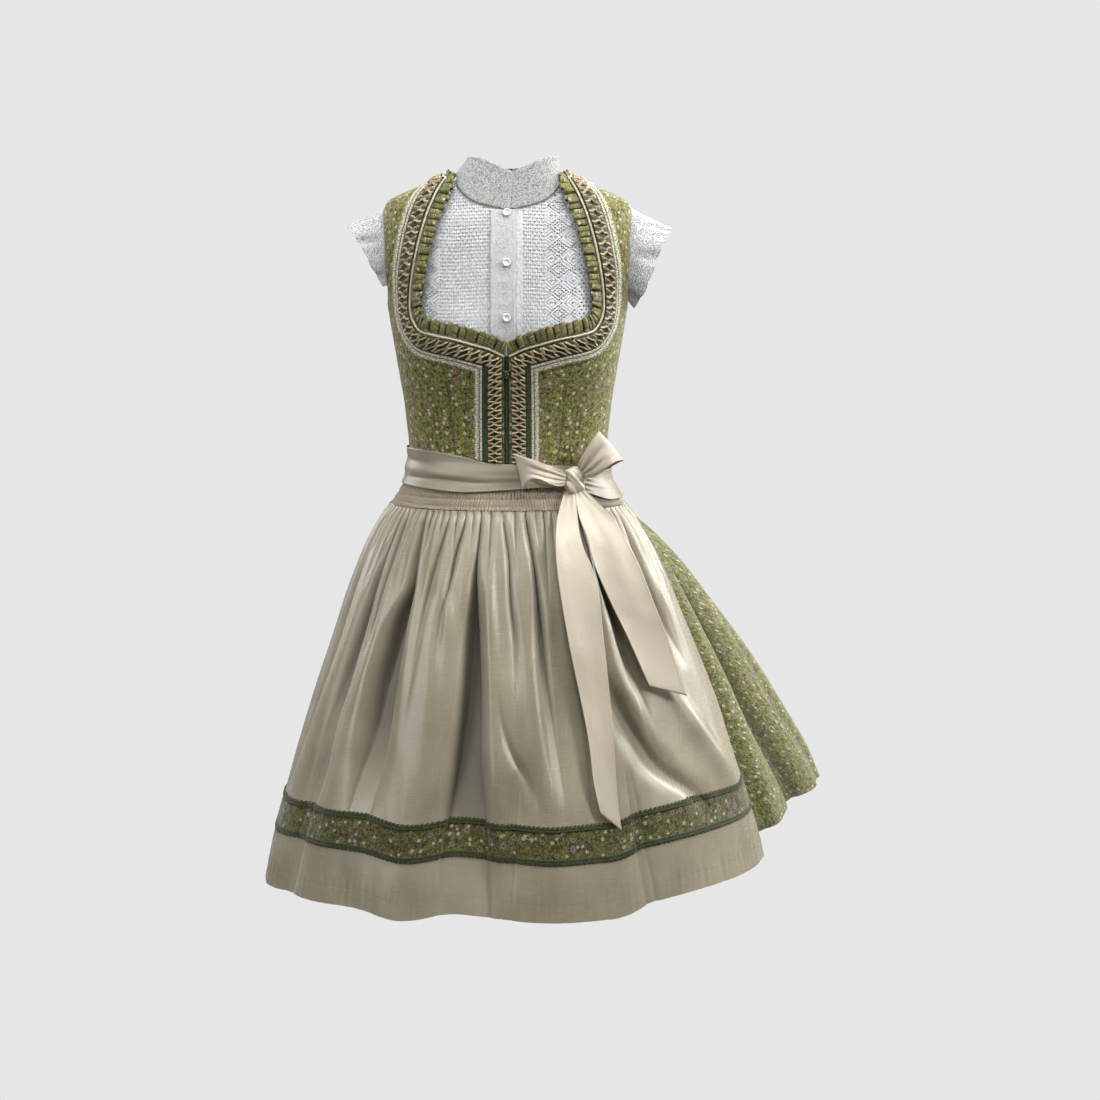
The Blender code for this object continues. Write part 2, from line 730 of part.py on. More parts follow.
def smooth_path(rows, back=False):
    """(angle, height) rows through a table of (half width, height), on the front or on the back."""
    rows = np.array(rows)
    chord = np.concatenate([[0], np.cumsum(np.linalg.norm(np.diff(rows, axis=0), axis=1))])
    fine = np.linspace(0, chord[-1], 120)
    half = through(np.column_stack([chord, rows[:, 0]]), 1, fine)
    height = through(np.column_stack([chord, rows[:, 1]]), 1, fine)
    angle = angle_at(half, height)
    return np.stack([math.pi - angle if back else angle, height], -1)


def straight(start, end):
    return np.linspace(start, end, 40)


def joined(*paths):
    """Paths one after the other, as one path of (angle, height) rows spaced evenly over the figure."""
    whole = np.concatenate(paths)
    points = figure(whole[:, 0], whole[:, 1])
    length = np.concatenate([[0], np.cumsum(np.linalg.norm(np.diff(points, axis=0), axis=1))])
    even = np.linspace(0, length[-1], 240)
    return np.stack([np.interp(even, length, whole[:, 0]), np.interp(even, length, whole[:, 1])], -1)


def panel(name, columns, rows, edges, lift, wall, surface, side=1):
    """Cloth between four edges, each a path of (angle, height): bottom, top, start and end."""
    bottom, top, start, end = edges

    def place(u, v):
        across, up = u[:, None], v[:, None]
        between_ends = (1 - up) * read(bottom, u) + up * read(top, u)
        between_sides = (1 - across) * read(start, v) + across * read(end, v)
        low = (1 - across) * bottom[0] + across * bottom[-1]
        high = (1 - across) * top[0] + across * top[-1]
        at = between_ends + between_sides - (1 - up) * low - up * high
        return lay(at[:, 0], at[:, 1], lift)

    return cloth(name, columns, rows, place, wall, surface, side=side)


HALF_SEAM = SEAM
SIDE_GAP = HALF_SEAM / 0.140
QUARTER = math.pi / 2


def front_neckline():
    """From centre front to the shoulder seam."""
    return joined(smooth_path(NECKLINE), [(QUARTER - SIDE_GAP, SHOULDER_NECK_HEIGHT)])


def princess_seam(gap):
    rows = [(half + gap, height) for height, half in PRINCESS_SEAM]
    return smooth_path(rows)


def cut_at(path, x, keep_start):
    """The stretch of the neckline before or after it crosses the top of the princess seam."""
    points = figure(path[:, 0], path[:, 1])
    crossing = np.argmax(points[:, 0] > x)
    return path[: crossing + 1] if keep_start else path[crossing:]


# ---------- bodice ----------


def side_name(side):
    return "left" if side > 0 else "right"


def bodice_front(side, surface):
    """Between the zip and the princess seam, from the neckline to the waist."""
    seam = princess_seam(-HALF_SEAM)
    top = cut_at(front_neckline(), PRINCESS_SEAM[-1][1] - HALF_SEAM, True)
    zip_line = smooth_path([(ZIP_HALF, WAIST_HEIGHT), (ZIP_HALF, NECKLINE[0][1])])
    seam = joined(seam[:-1], top[-1:])
    edges = (straight(zip_line[0], seam[0]), top, zip_line, seam)
    return panel(f"bodice_front_{side_name(side)}", 6, 7, edges, BODICE_LIFT, BODICE_WALL, surface, side)


def bodice_side(side, surface):
    """Between the princess seam and the armhole, from the strap to the waist."""
    neck = cut_at(front_neckline(), PRINCESS_SEAM[-1][1] + HALF_SEAM, False)
    inner = joined(princess_seam(HALF_SEAM)[:-1], neck)
    hole = armhole(np.linspace(math.pi, 0, 60)) - (SIDE_GAP, 0)
    outer = joined([(QUARTER - SIDE_GAP, WAIST_HEIGHT)], hole)
    edges = (straight(inner[0], outer[0]), straight(inner[-1], outer[-1]), inner, outer)
    name = f"bodice_side_{side_name(side)}"
    return panel(name, 7, SIDE_LEVELS, edges, BODICE_LIFT, BODICE_WALL, surface, side)


def back_neckline():
    """From the wearer's left shoulder round the back to the right one."""
    half = joined([(QUARTER + SIDE_GAP, SHOULDER_NECK_HEIGHT)], smooth_path(BACK_NECKLINE, True))
    return joined(half, mirrored_behind(half))


def mirrored_behind(path):
    """The same path on the other side of the centre back, in the opposite direction."""
    return np.stack([2 * math.pi - path[::-1, 0], path[::-1, 1]], -1)


def back_edges(hem, hole, top):
    """Edges of a back between its side seams; the top runs from shoulder tip to shoulder tip."""
    start = joined([(QUARTER + SIDE_GAP, hem)], hole)
    end = mirrored_behind(start)[::-1]
    whole_top = joined(start[-1:], top, end[-1:])
    return straight(start[0], end[0]), whole_top, start, end


def bodice_back(surface):
    hole = armhole(np.linspace(-math.pi, 0, 60)) + (SIDE_GAP, 0)
    edges = back_edges(WAIST_HEIGHT, hole, back_neckline())
    return panel("bodice_back", 14, BACK_LEVELS, edges, BODICE_LIFT, BODICE_WALL, surface)


# ---------- trims of the neckline and the front ----------


def trim_edge(side, from_neck, from_front, neck_points, front_points):
    """A line beside the neckline that turns down beside the zip, from the shoulder to the sash."""
    neck = front_neckline()[::-1]
    moved = beside(neck, from_neck)
    x = figure(moved[:, 0], moved[:, 1])[:, 0]
    kept = moved[: np.argmax(x < from_front)] if (x < from_front).any() else moved
    corner_height = kept[-1, 1]
    corner = (float(angle_at(from_front, corner_height)), corner_height)
    upper = read(joined(kept, [corner]), np.linspace(0, 1, neck_points + 1))
    low = float(sash_edge(side * float(angle_at(from_front, SASH_AT_FRONT)), 1)) + 4 * SEAM
    heights = np.linspace(corner_height, low, front_points + 1)[1:]
    lower = np.stack([angle_at(np.full(front_points, from_front), heights), heights], -1)
    return np.concatenate([upper, lower])


def between(first, second):
    """A function of the shares (along, across) between two lines of (angle, height)."""

    def at(u, v):
        a, b = read(first, u), read(second, u)
        return a + (b - a) * v[:, None]

    return at


NECK_POINTS, FRONT_POINTS = 26, 8


def flat_trim(name, side, inner, outer, lift, wall, surface):
    """A flat ribbon between two trim lines."""
    lines = [trim_edge(side, *edge, NECK_POINTS, FRONT_POINTS) for edge in (inner, outer)]
    count = NECK_POINTS + FRONT_POINTS
    at = between(*lines)

    def place(u, v):
        row = at(u, v)
        return lay(row[:, 0], row[:, 1], lift)

    return cloth(f"{name}_{side_name(side)}", count, 1, place, wall, surface, side=side)


def braid(side, surface):
    """Pinched loops of ribbon, raised over a plain back."""
    edges = (BRAID_IN, BRAID_OUT)
    lines = [trim_edge(side, *edge, BRAID_ON_NECK * 2, BRAID_ON_FRONT * 2) for edge in edges]
    repeats = BRAID_ON_NECK + BRAID_ON_FRONT
    at = between(*lines)
    lift = TRIM_LIFT + TRIM_WALL + SEAM

    def inner(u, v):
        row = at(u, v)
        return lay(row[:, 0], row[:, 1], lift)

    def outer(u, v):
        row = at(u, v)
        open_loop = (1 - np.cos(2 * math.pi * repeats * u)) / 2
        crown = 1 - abs(2 * v - 1)
        relief = BRAID_RISE * crown * (1 - 0.75 * open_loop) + 0.6 * MM * open_loop
        return lay(row[:, 0], row[:, 1], lift + 0.9 * MM + relief)

    return raised(f"neck_braid_{side_name(side)}", repeats * 2, 2, inner, outer, surface, side)


def piping(surface):
    """One cord round the whole neckline, over the edge of the bodice."""
    front = beside(front_neckline()[::-1], PIPING_AT)
    x = figure(front[:, 0], front[:, 1])[:, 0]
    front = front[x > PIPING_RADIUS + SEAM]
    lift = BODICE_LIFT + BODICE_WALL + PIPING_RADIUS + 2 * SEAM
    made = []
    for side in (1, -1):
        row = read(front, np.linspace(0.004, 1, 23)) * (side, 1)
        path = lay(row[:, 0], row[:, 1], lift)
        made.append(tube(f"neck_piping_{side_name(side)}", path, PIPING_RADIUS, surface))
    back = beside(back_neckline(), -PIPING_AT)
    row = read(back, np.linspace(0.005, 0.995, 22))
    made.append(tube("neck_piping_back", lay(row[:, 0], row[:, 1], lift), PIPING_RADIUS, surface))
    return made


def ruffle(side, surface):
    """A gathered strip that stands inwards from the neckline over the blouse."""
    neck = front_neckline()[::-1]
    full = 0.3 + 0.7 * ease(np.linspace(0, 1, len(neck)) / 0.16)
    root = beside(neck, -2.8 * MM)
    edge = beside(neck, -RUFFLE_WIDE * full)
    half = figure(edge[:, 0], edge[:, 1])[:, 0]
    nearest = 1.0 * MM
    clear = np.maximum(half, nearest)
    edge[:, 0] = np.where(half < 0.05, angle_at(clear, edge[:, 1]), edge[:, 0])
    at = between(root, edge)

    def place(u, v):
        across = 1 - v
        row = at(u, across)
        wave = np.sin(2 * math.pi * RUFFLE_WAVES * u + 0.8 * np.sin(9 * u))
        over_placket = 1.4 * MM * np.exp(-((figure(row[:, 0], row[:, 1])[:, 0] / 0.026) ** 2))
        rise = (1.2 * MM + RUFFLE_SWING * wave + over_placket) * across
        return lay(row[:, 0], row[:, 1], RUFFLE_LIFT + rise)

    name = f"neck_ruffle_{side_name(side)}"
    return cloth(name, RUFFLE_WAVES * 3, 1, place, 1.0 * MM, surface, True, side)


def front_zip(surface, pull_surface):
    """The closed zip's tape and its slider, which stays near the top."""
    top = NECKLINE[0][1] - 1.0 * MM

    def place(u, v):
        height = WAIST_HEIGHT + (top - WAIST_HEIGHT) * v
        x = (2 * u - 1) * (ZIP_HALF - SEAM)
        return lay(angle_at(x, height), height, BODICE_LIFT)

    tape = cloth("zip_tape", 2, 8, place, 1.4 * MM, surface)
    out = BODICE_LIFT + 1.4 * MM + 0.2 * MM
    low, high = (lay(0.0, SLIDER_HEIGHT + d, out) for d in (-SLIDER_SIZE[2] / 2, SLIDER_SIZE[2] / 2))
    slider = block("zip_slider", SLIDER_SIZE, pull_surface)
    up = Vector(high - low).normalized()
    out_of = Vector((1, 0, 0)).cross(up)
    turn = Matrix((Vector((1, 0, 0)), -out_of, up)).transposed()
    middle = Vector((low + high) / 2) + out_of * (SLIDER_SIZE[1] / 2 + 0.3 * MM)
    slider.matrix_world = Matrix.Translation(middle) @ turn.to_4x4()
    return tape, slider


def block(name, size, surface):
    shape = bmesh.new()
    bmesh.ops.create_cube(shape, size=1)
    bmesh.ops.scale(shape, vec=size, verts=shape.verts)
    bmesh.ops.bevel(shape, geom=shape.edges[:], offset=min(size) * 0.22, segments=1, affect="EDGES")
    mesh = bpy.data.meshes.new(name)
    shape.to_mesh(mesh)
    shape.free()
    return add(name, mesh, surface)


# ---------- blouse ----------


def collar_seam(gap):
    """From the wearer's left shoulder forward to the centre front."""
    degrees = np.linspace(90, 0.0, 60)
    return np.stack([np.radians(degrees), through(COLLAR, 1, degrees) - gap], -1)


def blouse_front(side, surface):
    hole = armhole(np.linspace(math.pi, 0, 60), SLEEVE_INSET) - (SIDE_GAP, 0)
    neck = collar_seam(COLLAR_GAP)[::-1]
    middle = float(angle_at(0.4 * MM, -0.1))
    centre = straight((middle, BLOUSE_HEM), (middle, neck[0, 1]))
    neck[:, 0] = np.clip(neck[:, 0], middle, QUARTER - SIDE_GAP)
    inner = joined(centre, neck)
    outer = joined([(QUARTER - SIDE_GAP, BLOUSE_HEM)], hole)
    edges = (straight(inner[0], outer[0]), straight(inner[-1], outer[-1]), inner, outer)
    name = f"blouse_front_{side_name(side)}"
    return panel(name, 7, BLOUSE_LEVELS, edges, BLOUSE_LIFT, BLOUSE_WALL, surface, side)


def blouse_back(surface):
    hole = armhole(np.linspace(-math.pi, 0, 60), BLOUSE_BACK_INSET) + (SIDE_GAP, 0)
    degrees = np.linspace(90, 180, 40)
    half = np.stack([np.radians(degrees), through(COLLAR, 1, degrees) - COLLAR_GAP], -1)
    half[:, 0] = np.maximum(half[:, 0], QUARTER + SIDE_GAP)
    top = joined(half, mirrored_behind(half))
    edges = back_edges(BLOUSE_HEM, hole, top)
    levels, lift = BLOUSE_BACK_LEVELS, BLOUSE_BACK_LIFT
    return panel("blouse_back", 14, levels, edges, lift, BLOUSE_WALL, surface)


def placket(surface):
    left, right = PLACKET
    top = float(through(COLLAR, 1, 0)) - 2.5 * MM

    def place(u, v):
        height = PLACKET_LOW + (top - PLACKET_LOW) * v
        x = left + (right - left) * u
        return lay(angle_at(x, height), height, BLOUSE_OUT + 3 * SEAM)

    return cloth("blouse_placket", 2, 8, place, 1.0 * MM, surface)


def collar_point(degrees, share):
    """A point of the stand collar between its seam and its upper edge."""
    angle = np.radians(degrees)
    wrapped = abs((degrees + 180) % 360 - 180)
    seam = figure(angle, through(COLLAR, 1, wrapped))
    s, c = np.sin(angle), np.cos(angle)
    deep = np.where(c > 0, COLLAR_TOP_FRONT, COLLAR_TOP_BACK)
    top = np.stack(
        [
            COLLAR_TOP_HALF * np.sign(s) * abs(s) ** SECTION_POWER,
            -deep * np.sign(c) * abs(c) ** SECTION_POWER,
            through(COLLAR, 2, wrapped),
        ],
        -1,
    )
    return seam + (top - seam) * share[:, None]


def collar(surface):
    """Two halves that meet at the front and at the back."""
    made = []
    for name, start, end in (("left", 2.0, 180.0 - 0.2), ("right", -180.0 + 0.2, 1.6)):

        def place(u, v, start=start, end=end):
            return collar_point(start + (end - start) * u, v)

        made.append(cloth(f"blouse_collar_{name}", 16, 2, place, COLLAR_WALL, surface))
    return made


def sleeve(name, side, reach, surface):
    """A cap that stands out round the armhole; its ends stay open under the arm."""
    first, last = reach[0][0], reach[-1][0]

    def place(u, v):
        degrees = first + (last - first) * u
        turn = np.radians(degrees)
        rim = armhole(turn, SLEEVE_INSET)
        root = lay(rim[:, 0], rim[:, 1], BLOUSE_LIFT)
        root[:, 0] += 4 * SEAM
        fall = 0.05 + 0.42 * np.clip(np.cos(turn), 0, 1) ** 2
        out = np.stack([np.full_like(turn, 0.90), -0.12 * np.sin(turn), -fall], -1)
        out /= np.linalg.norm(out, axis=1)[:, None]
        return root + out * (through(reach, 1, degrees) * v)[:, None]

    return cloth(f"blouse_sleeve_{name}", 12, 3, place, BLOUSE_WALL, surface, side=side)


def buttons(surface):
    made = []
    for number, height in enumerate(BUTTON_HEIGHTS, 1):
        shape = bmesh.new()
        bmesh.ops.create_cone(
            shape,
            cap_ends=True,
            segments=12,
            radius1=BUTTON_RADIUS,
            radius2=BUTTON_RADIUS * 0.72,
            depth=BUTTON_THICK,
        )
        mesh = bpy.data.meshes.new("button")
        shape.to_mesh(mesh)
        shape.free()
        obj = add(f"blouse_button_{number}", mesh, surface)
        seat = lay(0.0, height, BLOUSE_OUT + 2.4 * MM + BUTTON_THICK / 2)
        out = Vector(seat - lay(0.0, height, 0.0)).normalized()
        obj.matrix_world = Matrix.Translation(seat) @ out.to_track_quat("Z", "Y").to_matrix().to_4x4()
        made.append(obj)
    return made


# ---------- the whole garment ----------


def clear_scene():
    for obj in list(bpy.data.objects):
        bpy.data.objects.remove(obj)


def main():
    lace = material("white lace", (0.80, 0.82, 0.83), 0.75)
    trim_lace = material("cream lace", (0.74, 0.68, 0.52), 0.75)
    printed = material("green floral cotton", (0.25, 0.28, 0.09), 0.80)
    dark = material("dark green ribbon", (0.035, 0.055, 0.020), 0.60)
    loops = material("tan ribbon", (0.47, 0.36, 0.19), 0.55)
    cream = material("cream satin cord", (0.66, 0.57, 0.36), 0.45)
    beige = material("beige satin", (0.50, 0.44, 0.31), 0.45)
    bow = material("beige ribbon", (0.68, 0.56, 0.42), 0.45)
    plastic = material("green zip", (0.08, 0.12, 0.07), 0.40)

    blouse_back(lace)
    placket(lace)
    collar(lace)
    buttons(lace)
    bodice_back(printed)
    for side in (1, -1):
        blouse_front(side, lace)
        sleeve(side_name(side), side, SLEEVES[side_name(side)], lace)
        bodice_front(side, printed)
        bodice_side(side, printed)
        ruffle(side, printed)
        flat_trim("neck_ribbon", side, RIBBON_IN, RIBBON_OUT, TRIM_LIFT, TRIM_WALL, dark)
        flat_trim("neck_lace", side, LACE_IN, LACE_OUT, TRIM_LIFT, TRIM_WALL, trim_lace)
        braid(side, loops)
    piping(cream)
    front_zip(plastic, plastic)

    skirt_panel("skirt_front", -90 + 0.1, 90 - 0.1, 16, printed)
    skirt_panel("skirt_back", 90 + 0.1, 270 - 0.1, 36, printed)
    band = apron_band(beige)
    panels = apron(beige, printed, dark)
    belt = sash(beige)
    middle = knot(bow)
    braids = [bpy.data.objects[f"neck_braid_{side}"] for side in ("left", "right")]
    frontmost = supports(panels + [band, belt] + braids)
    for name, loop in BOW_LOOPS.items():
        bow_loop(name, middle, frontmost, bow, **loop)
    for name, rows in TAILS.items():
        bow_tail(name, rows, TAIL_STARTS[name], TAIL_CUT[name], middle, frontmost, bow)


clear_scene()
PARTS = bpy.data.collections.new("dirndl")
bpy.context.scene.collection.children.link(PARTS)
main()
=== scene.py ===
"""The looks of a worn dirndl: lace blouse, printed bodice and skirt, and an apron tied in a bow.

Metres, +Z up, the front faces -Y and +X is the wearer's left. Each piece of cloth is a thin sheet
laid on the same hollow figure as its solid, from the same named sizes.
"""

import json
import math
from types import SimpleNamespace

import bpy
import numpy as np
from mathutils import Matrix, Vector
from mathutils.bvhtree import BVHTree

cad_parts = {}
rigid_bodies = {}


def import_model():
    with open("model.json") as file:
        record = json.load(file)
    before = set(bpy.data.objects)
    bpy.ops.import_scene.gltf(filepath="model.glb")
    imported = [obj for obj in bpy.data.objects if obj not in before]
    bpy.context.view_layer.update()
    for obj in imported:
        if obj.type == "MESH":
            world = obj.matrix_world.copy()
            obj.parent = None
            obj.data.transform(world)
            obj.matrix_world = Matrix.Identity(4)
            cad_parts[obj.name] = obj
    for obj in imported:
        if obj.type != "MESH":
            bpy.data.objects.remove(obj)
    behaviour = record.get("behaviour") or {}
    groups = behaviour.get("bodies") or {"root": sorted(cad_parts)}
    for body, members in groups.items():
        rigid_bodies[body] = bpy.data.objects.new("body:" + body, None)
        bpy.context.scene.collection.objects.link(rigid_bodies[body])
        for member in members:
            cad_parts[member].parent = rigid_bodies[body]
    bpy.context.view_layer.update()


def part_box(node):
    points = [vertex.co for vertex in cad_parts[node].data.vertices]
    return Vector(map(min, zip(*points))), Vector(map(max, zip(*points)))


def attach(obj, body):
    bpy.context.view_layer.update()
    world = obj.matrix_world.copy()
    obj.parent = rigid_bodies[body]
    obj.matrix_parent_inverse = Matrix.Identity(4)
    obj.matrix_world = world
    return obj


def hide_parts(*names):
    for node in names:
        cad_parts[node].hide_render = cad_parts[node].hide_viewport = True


MM = 0.001
# The hollow figure that the clothes are cut for, from the neck down to the hips.
FIGURE = (
    # height, half width, front depth, back depth
    (-0.47, 0.168, 0.122, 0.122), (-0.44, 0.155, 0.112, 0.112), (-0.42, 0.142, 0.102, 0.1),
    (-0.39, 0.131, 0.093, 0.088), (-0.345, 0.132, 0.092, 0.084), (-0.29, 0.138, 0.097, 0.087),
    (-0.236, 0.147, 0.105, 0.092), (-0.194, 0.154, 0.109, 0.097), (-0.152, 0.161, 0.105, 0.101),
    (-0.1, 0.171, 0.095, 0.102), (-0.05, 0.169, 0.08, 0.094), (-0.026, 0.157, 0.069, 0.085),
    (-0.005, 0.11, 0.062, 0.075), (0.012, 0.072, 0.057, 0.062), (0.03, 0.062, 0.054, 0.056),
)
CUP_OUT, CUP_HEIGHT, CUP_RISE = 0.078, -0.205, 0.014
CUP_WIDE, CUP_TALL = 0.048, 0.052
SECTION_POWER = 0.86
# Layers, as heights above the figure.
BLOUSE_LIFT, BLOUSE_BACK_LIFT, BLOUSE_WALL = -2.0 * MM, -7.6 * MM, 1.0 * MM
BLOUSE_OUT, BLOUSE_BACK_OUT = BLOUSE_LIFT + BLOUSE_WALL, BLOUSE_BACK_LIFT + BLOUSE_WALL
BODICE_LIFT, BODICE_WALL = 2.8 * MM, 1.8 * MM
TRIM_LIFT, TRIM_WALL = 5.7 * MM, 1.0 * MM
SKIRT_LIFT = 2.9 * MM
BAND_LIFT, BAND_WALL, BAND_RIB = 5.6 * MM, 1.8 * MM, 1.0 * MM
SASH_LIFT, SASH_WALL = 9.8 * MM, 1.6 * MM
SASH_ON_BODICE = 6.2 * MM
SEAM = 0.3 * MM
# Bodice: half of the neckline, from centre front to the shoulder seam.
ZIP_HALF = 3.6 * MM
NECKLINE = (
    # half width, height
    (0.004, -0.228), (0.022, -0.2195), (0.045, -0.2125), (0.07, -0.2055), (0.093, -0.201), (0.111, -0.195),
    (0.121, -0.18), (0.124, -0.16), (0.123, -0.135), (0.118, -0.1), (0.11, -0.065), (0.099, -0.032), (0.088, -0.011),
    (0.079, 0.001),
)
SHOULDER_NECK_HEIGHT = 0.0080
ARMHOLE_HEIGHT, ARMHOLE_TALL, ARMHOLE_WIDE = -0.0950, 0.0700, math.radians(21)
WAIST_HEIGHT = -0.3870
PRINCESS_SEAM = (
    # height, half width
    (-0.387, 0.064), (-0.341, 0.069), (-0.267, 0.078), (-0.235, 0.085), (-0.2, 0.094),
)
BACK_NECKLINE = (
    # half width, height
    (0.074, 0.004), (0.079, -0.005), (0.086, -0.024), (0.083, -0.043), (0.068, -0.056), (0.038, -0.063),
    (0.0004, -0.065),
)
# Trims along the neckline and down the front: distance from the neckline, distance from centre front.
PIPING_AT, PIPING_RADIUS = 0.4 * MM, 1.5 * MM
RIBBON_IN, RIBBON_OUT = (3.9 * MM, 6.2 * MM), (23.5 * MM, 32.0 * MM)
BRAID_IN, BRAID_OUT = (4.2 * MM, 6.8 * MM), (21.0 * MM, 24.5 * MM)
LACE_IN, LACE_OUT = (23.9 * MM, 32.4 * MM), (34.0 * MM, 42.0 * MM)
RUFFLE_WIDE, RUFFLE_LIFT = 18 * MM, 3.4 * MM
# Sash: upper and lower edge round the waist.
SASH_AT_FRONT = -0.3730
SASH = (
    # angle from centre front, upper edge, lower edge
    (-180, -0.359, -0.418), (-90, -0.355, -0.409), (-42, -0.3575, -0.412), (-21, -0.364, -0.4145),
    (-7, -0.3725, -0.4125), (16, -0.374, -0.408), (40, -0.378, -0.415), (62, -0.385, -0.43), (90, -0.385, -0.43),
    (180, -0.359, -0.418),
)
BAND_TOP, BAND_BOTTOM = -0.3880, -0.4375
APRON_ENDS = (-97, 86)
# Skirt and apron: the ring below the band flares to the hem.
YOKE = 0.10
FLARE_TOP = BAND_BOTTOM - SEAM
FLARE = (
    # share of the drop, share of the spread
    (0, 0), (0.08, 0.13), (0.2, 0.29), (0.35, 0.45), (0.55, 0.65), (0.75, 0.82), (0.9, 0.94), (1, 1),
)
APRON_HEM = (
    # angle from centre front, distance from the axis, height
    (-97, 0.338, -0.956), (-80, 0.338, -0.952), (-60, 0.316, -0.948), (-44, 0.291, -0.947), (-30, 0.274, -0.956),
    (-15, 0.262, -0.946), (0, 0.26, -0.951), (15, 0.264, -0.955), (30, 0.275, -0.955), (44, 0.292, -0.938),
    (60, 0.316, -0.931), (75, 0.342, -0.928), (86, 0.354, -0.926),
)
SKIRT_HEM = (
    # angle from centre front, distance from the axis, height
    (-180, 0.3, -0.925), (-135, 0.29, -0.94), (-90, 0.304, -0.94), (-45, 0.238, -0.935), (0, 0.212, -0.935),
    (45, 0.24, -0.925), (84, 0.318, -0.915), (97, 0.386, -0.888), (114, 0.497, -0.858), (130, 0.43, -0.872),
    (150, 0.345, -0.9), (180, 0.3, -0.925),
)
SKIRT_FOLDS = (
    # angle at the waist, angle at the hem, width, first share of the drop, depth halfway, depth at the hem
    (92, 94, 3.5, 0.05, 0.006, 0.01), (122, 127, 4.2, 0, -0.024, -0.028), (138, 142, 5.5, 0.05, 0.018, 0.022),
    (154, 156, 4, 0, -0.024, -0.026), (168, 169, 5.5, 0.05, 0.018, 0.022), (183, 182, 4.2, 0, -0.022, -0.026),
    (198, 196, 5.5, 0.05, 0.018, 0.022), (214, 211, 4, 0, -0.024, -0.028), (230, 227, 5.5, 0.05, 0.016, 0.02),
    (246, 243, 4.4, 0, -0.02, -0.024), (258, 257, 5, 0.1, 0.01, 0.01),
)
HEM_BAND = (0.772, 0.852)
EDGING_TALL = 8.0 * MM
APRON_DROP = 0.53
# Collar: base seam round the neck, upper edge, and how far it leans in.
COLLAR = (
    # angle from centre front, base height, upper height
    (0, -0.0345, 0.013), (10, -0.027, 0.019), (25, -0.0115, 0.0265), (45, 0.003, 0.032), (62, 0.0095, 0.0335),
    (90, 0.014, 0.034), (180, 0.0155, 0.033),
)
COLLAR_TOP_HALF, COLLAR_TOP_FRONT, COLLAR_TOP_BACK = 0.0605, 0.0500, 0.0530
COLLAR_GAP = 1.6 * MM
BLOUSE_HEM = -0.300
PLACKET, PLACKET_LOW = (-0.0215, 0.0120), -0.2130
SLEEVE_INSET, BLOUSE_BACK_INSET = -4.0 * MM, -7.0 * MM
BUTTON_HEIGHTS, BUTTON_RADIUS, BUTTON_THICK = (-0.0415, -0.1070, -0.1790), 5.6 * MM, 3.0 * MM
# Cap sleeves: how far the cloth stands out round the armhole.
SLEEVES = {
    # angle round the armhole from the top, towards the front, and length
    "left": (
        (-104, 0.014), (-82, 0.036), (-50, 0.052), (0, 0.063), (50, 0.056), (100, 0.036), (150, 0.014),
    ),
    "right": (
        (-112, 0.012), (-90, 0.028), (-45, 0.05), (0, 0.06), (45, 0.05), (90, 0.028), (128, 0.01),
    ),
}
SLEEVE_DROOP = {"left": 14 * MM, "right": 2 * MM}
# Bow: seen from the front, in X and Z.
KNOT_ANGLE, KNOT_HEIGHT, KNOT_SIZE = 34.5, -0.4000, (0.030, 0.018, 0.038)
TAILS = {
    # height, edge towards the wearer's right, edge towards the wearer's left
    "long": (
        (-0.448, 0.066, 0.0945), (-0.477, 0.065, 0.101), (-0.523, 0.069, 0.119), (-0.599, 0.082, 0.128),
        (-0.675, 0.098, 0.136), (-0.726, 0.108, 0.141), (-0.777, 0.114, 0.145), (-0.818, 0.123, 0.151),
    ),
    "short": (
        (-0.44, 0.096, 0.138), (-0.465, 0.106, 0.155), (-0.503, 0.116, 0.175), (-0.555, 0.139, 0.196),
        (-0.598, 0.16, 0.216), (-0.663, 0.189, 0.24),
    ),
}
TAIL_CUT = {"long": 0.024, "short": 0.016}
TAIL_STARTS = {
    # edges at the knot, from its centre
    "long": (-18.5 * MM, -0.2 * MM),
    "short": (0.2 * MM, 17.0 * MM),
}
TAIL_CLEAR = 0.8 * MM
# Where the rows of each panel lie, as shares from its lower to its upper edge.
SIDE_ROWS = (0, 0.15, 0.30, 0.43, 0.48, 0.52, 0.56, 0.60, 0.66, 0.75, 0.84, 0.92, 1)
BACK_ROWS = (0, 0.14, 0.29, 0.44, 0.58, 0.70, 0.80, 0.88, 0.95, 1)
SIDE_GAP = SEAM / 0.140
QUARTER = math.pi / 2
HOLE_POINTS = 60  # of half an armhole

# Camera: distance, metres for each of the photo's pixels, and degrees that it looks down.
CAMERA_FAR, CAMERA_SCALE, CAMERA_RISE = 3.2, 0.00138, 7.0
PICTURE_PIXELS, SENSOR = 1100, 36
CAMERA_AIM = (0.0573, 0.0, -0.50)
FLOOR, FLOOR_SIDE, DOME_RADIUS = -1.02, 24.0, 11.5
WORLD_COLOUR, WORLD_LIGHT = (0.97, 0.985, 1.0), 0.08
# Soft area lights: the strong ones stand above and at the right of the picture.
LIGHTS = (
    # name, place, aim, size, power
    ("above", (0.2, -0.6, 2.6), (0, 0, -0.4), (1.4, 1.4), 84),
    ("front", (0.3, -2.8, 2.2), (0, 0, -0.4), (0.8, 0.8), 26),
    ("right", (2.6, -1.1, 1.2), (0, 0, -0.15), (0.9, 1.2), 90),
    ("left", (-2.6, -2.2, 0.8), (0, 0, -0.5), (1.2, 1.6), 64),
    ("behind_right", (2.4, 1.2, 0.8), (0, 0, -0.4), (1.0, 2.0), 94),
    ("behind_left", (-2.2, 1.6, 0.8), (0, 0, -0.4), (1.2, 2.0), 40),
    ("behind", (0.9, 2.8, 1.2), (0, 0, -0.5), (1.4, 1.4), 44),
)


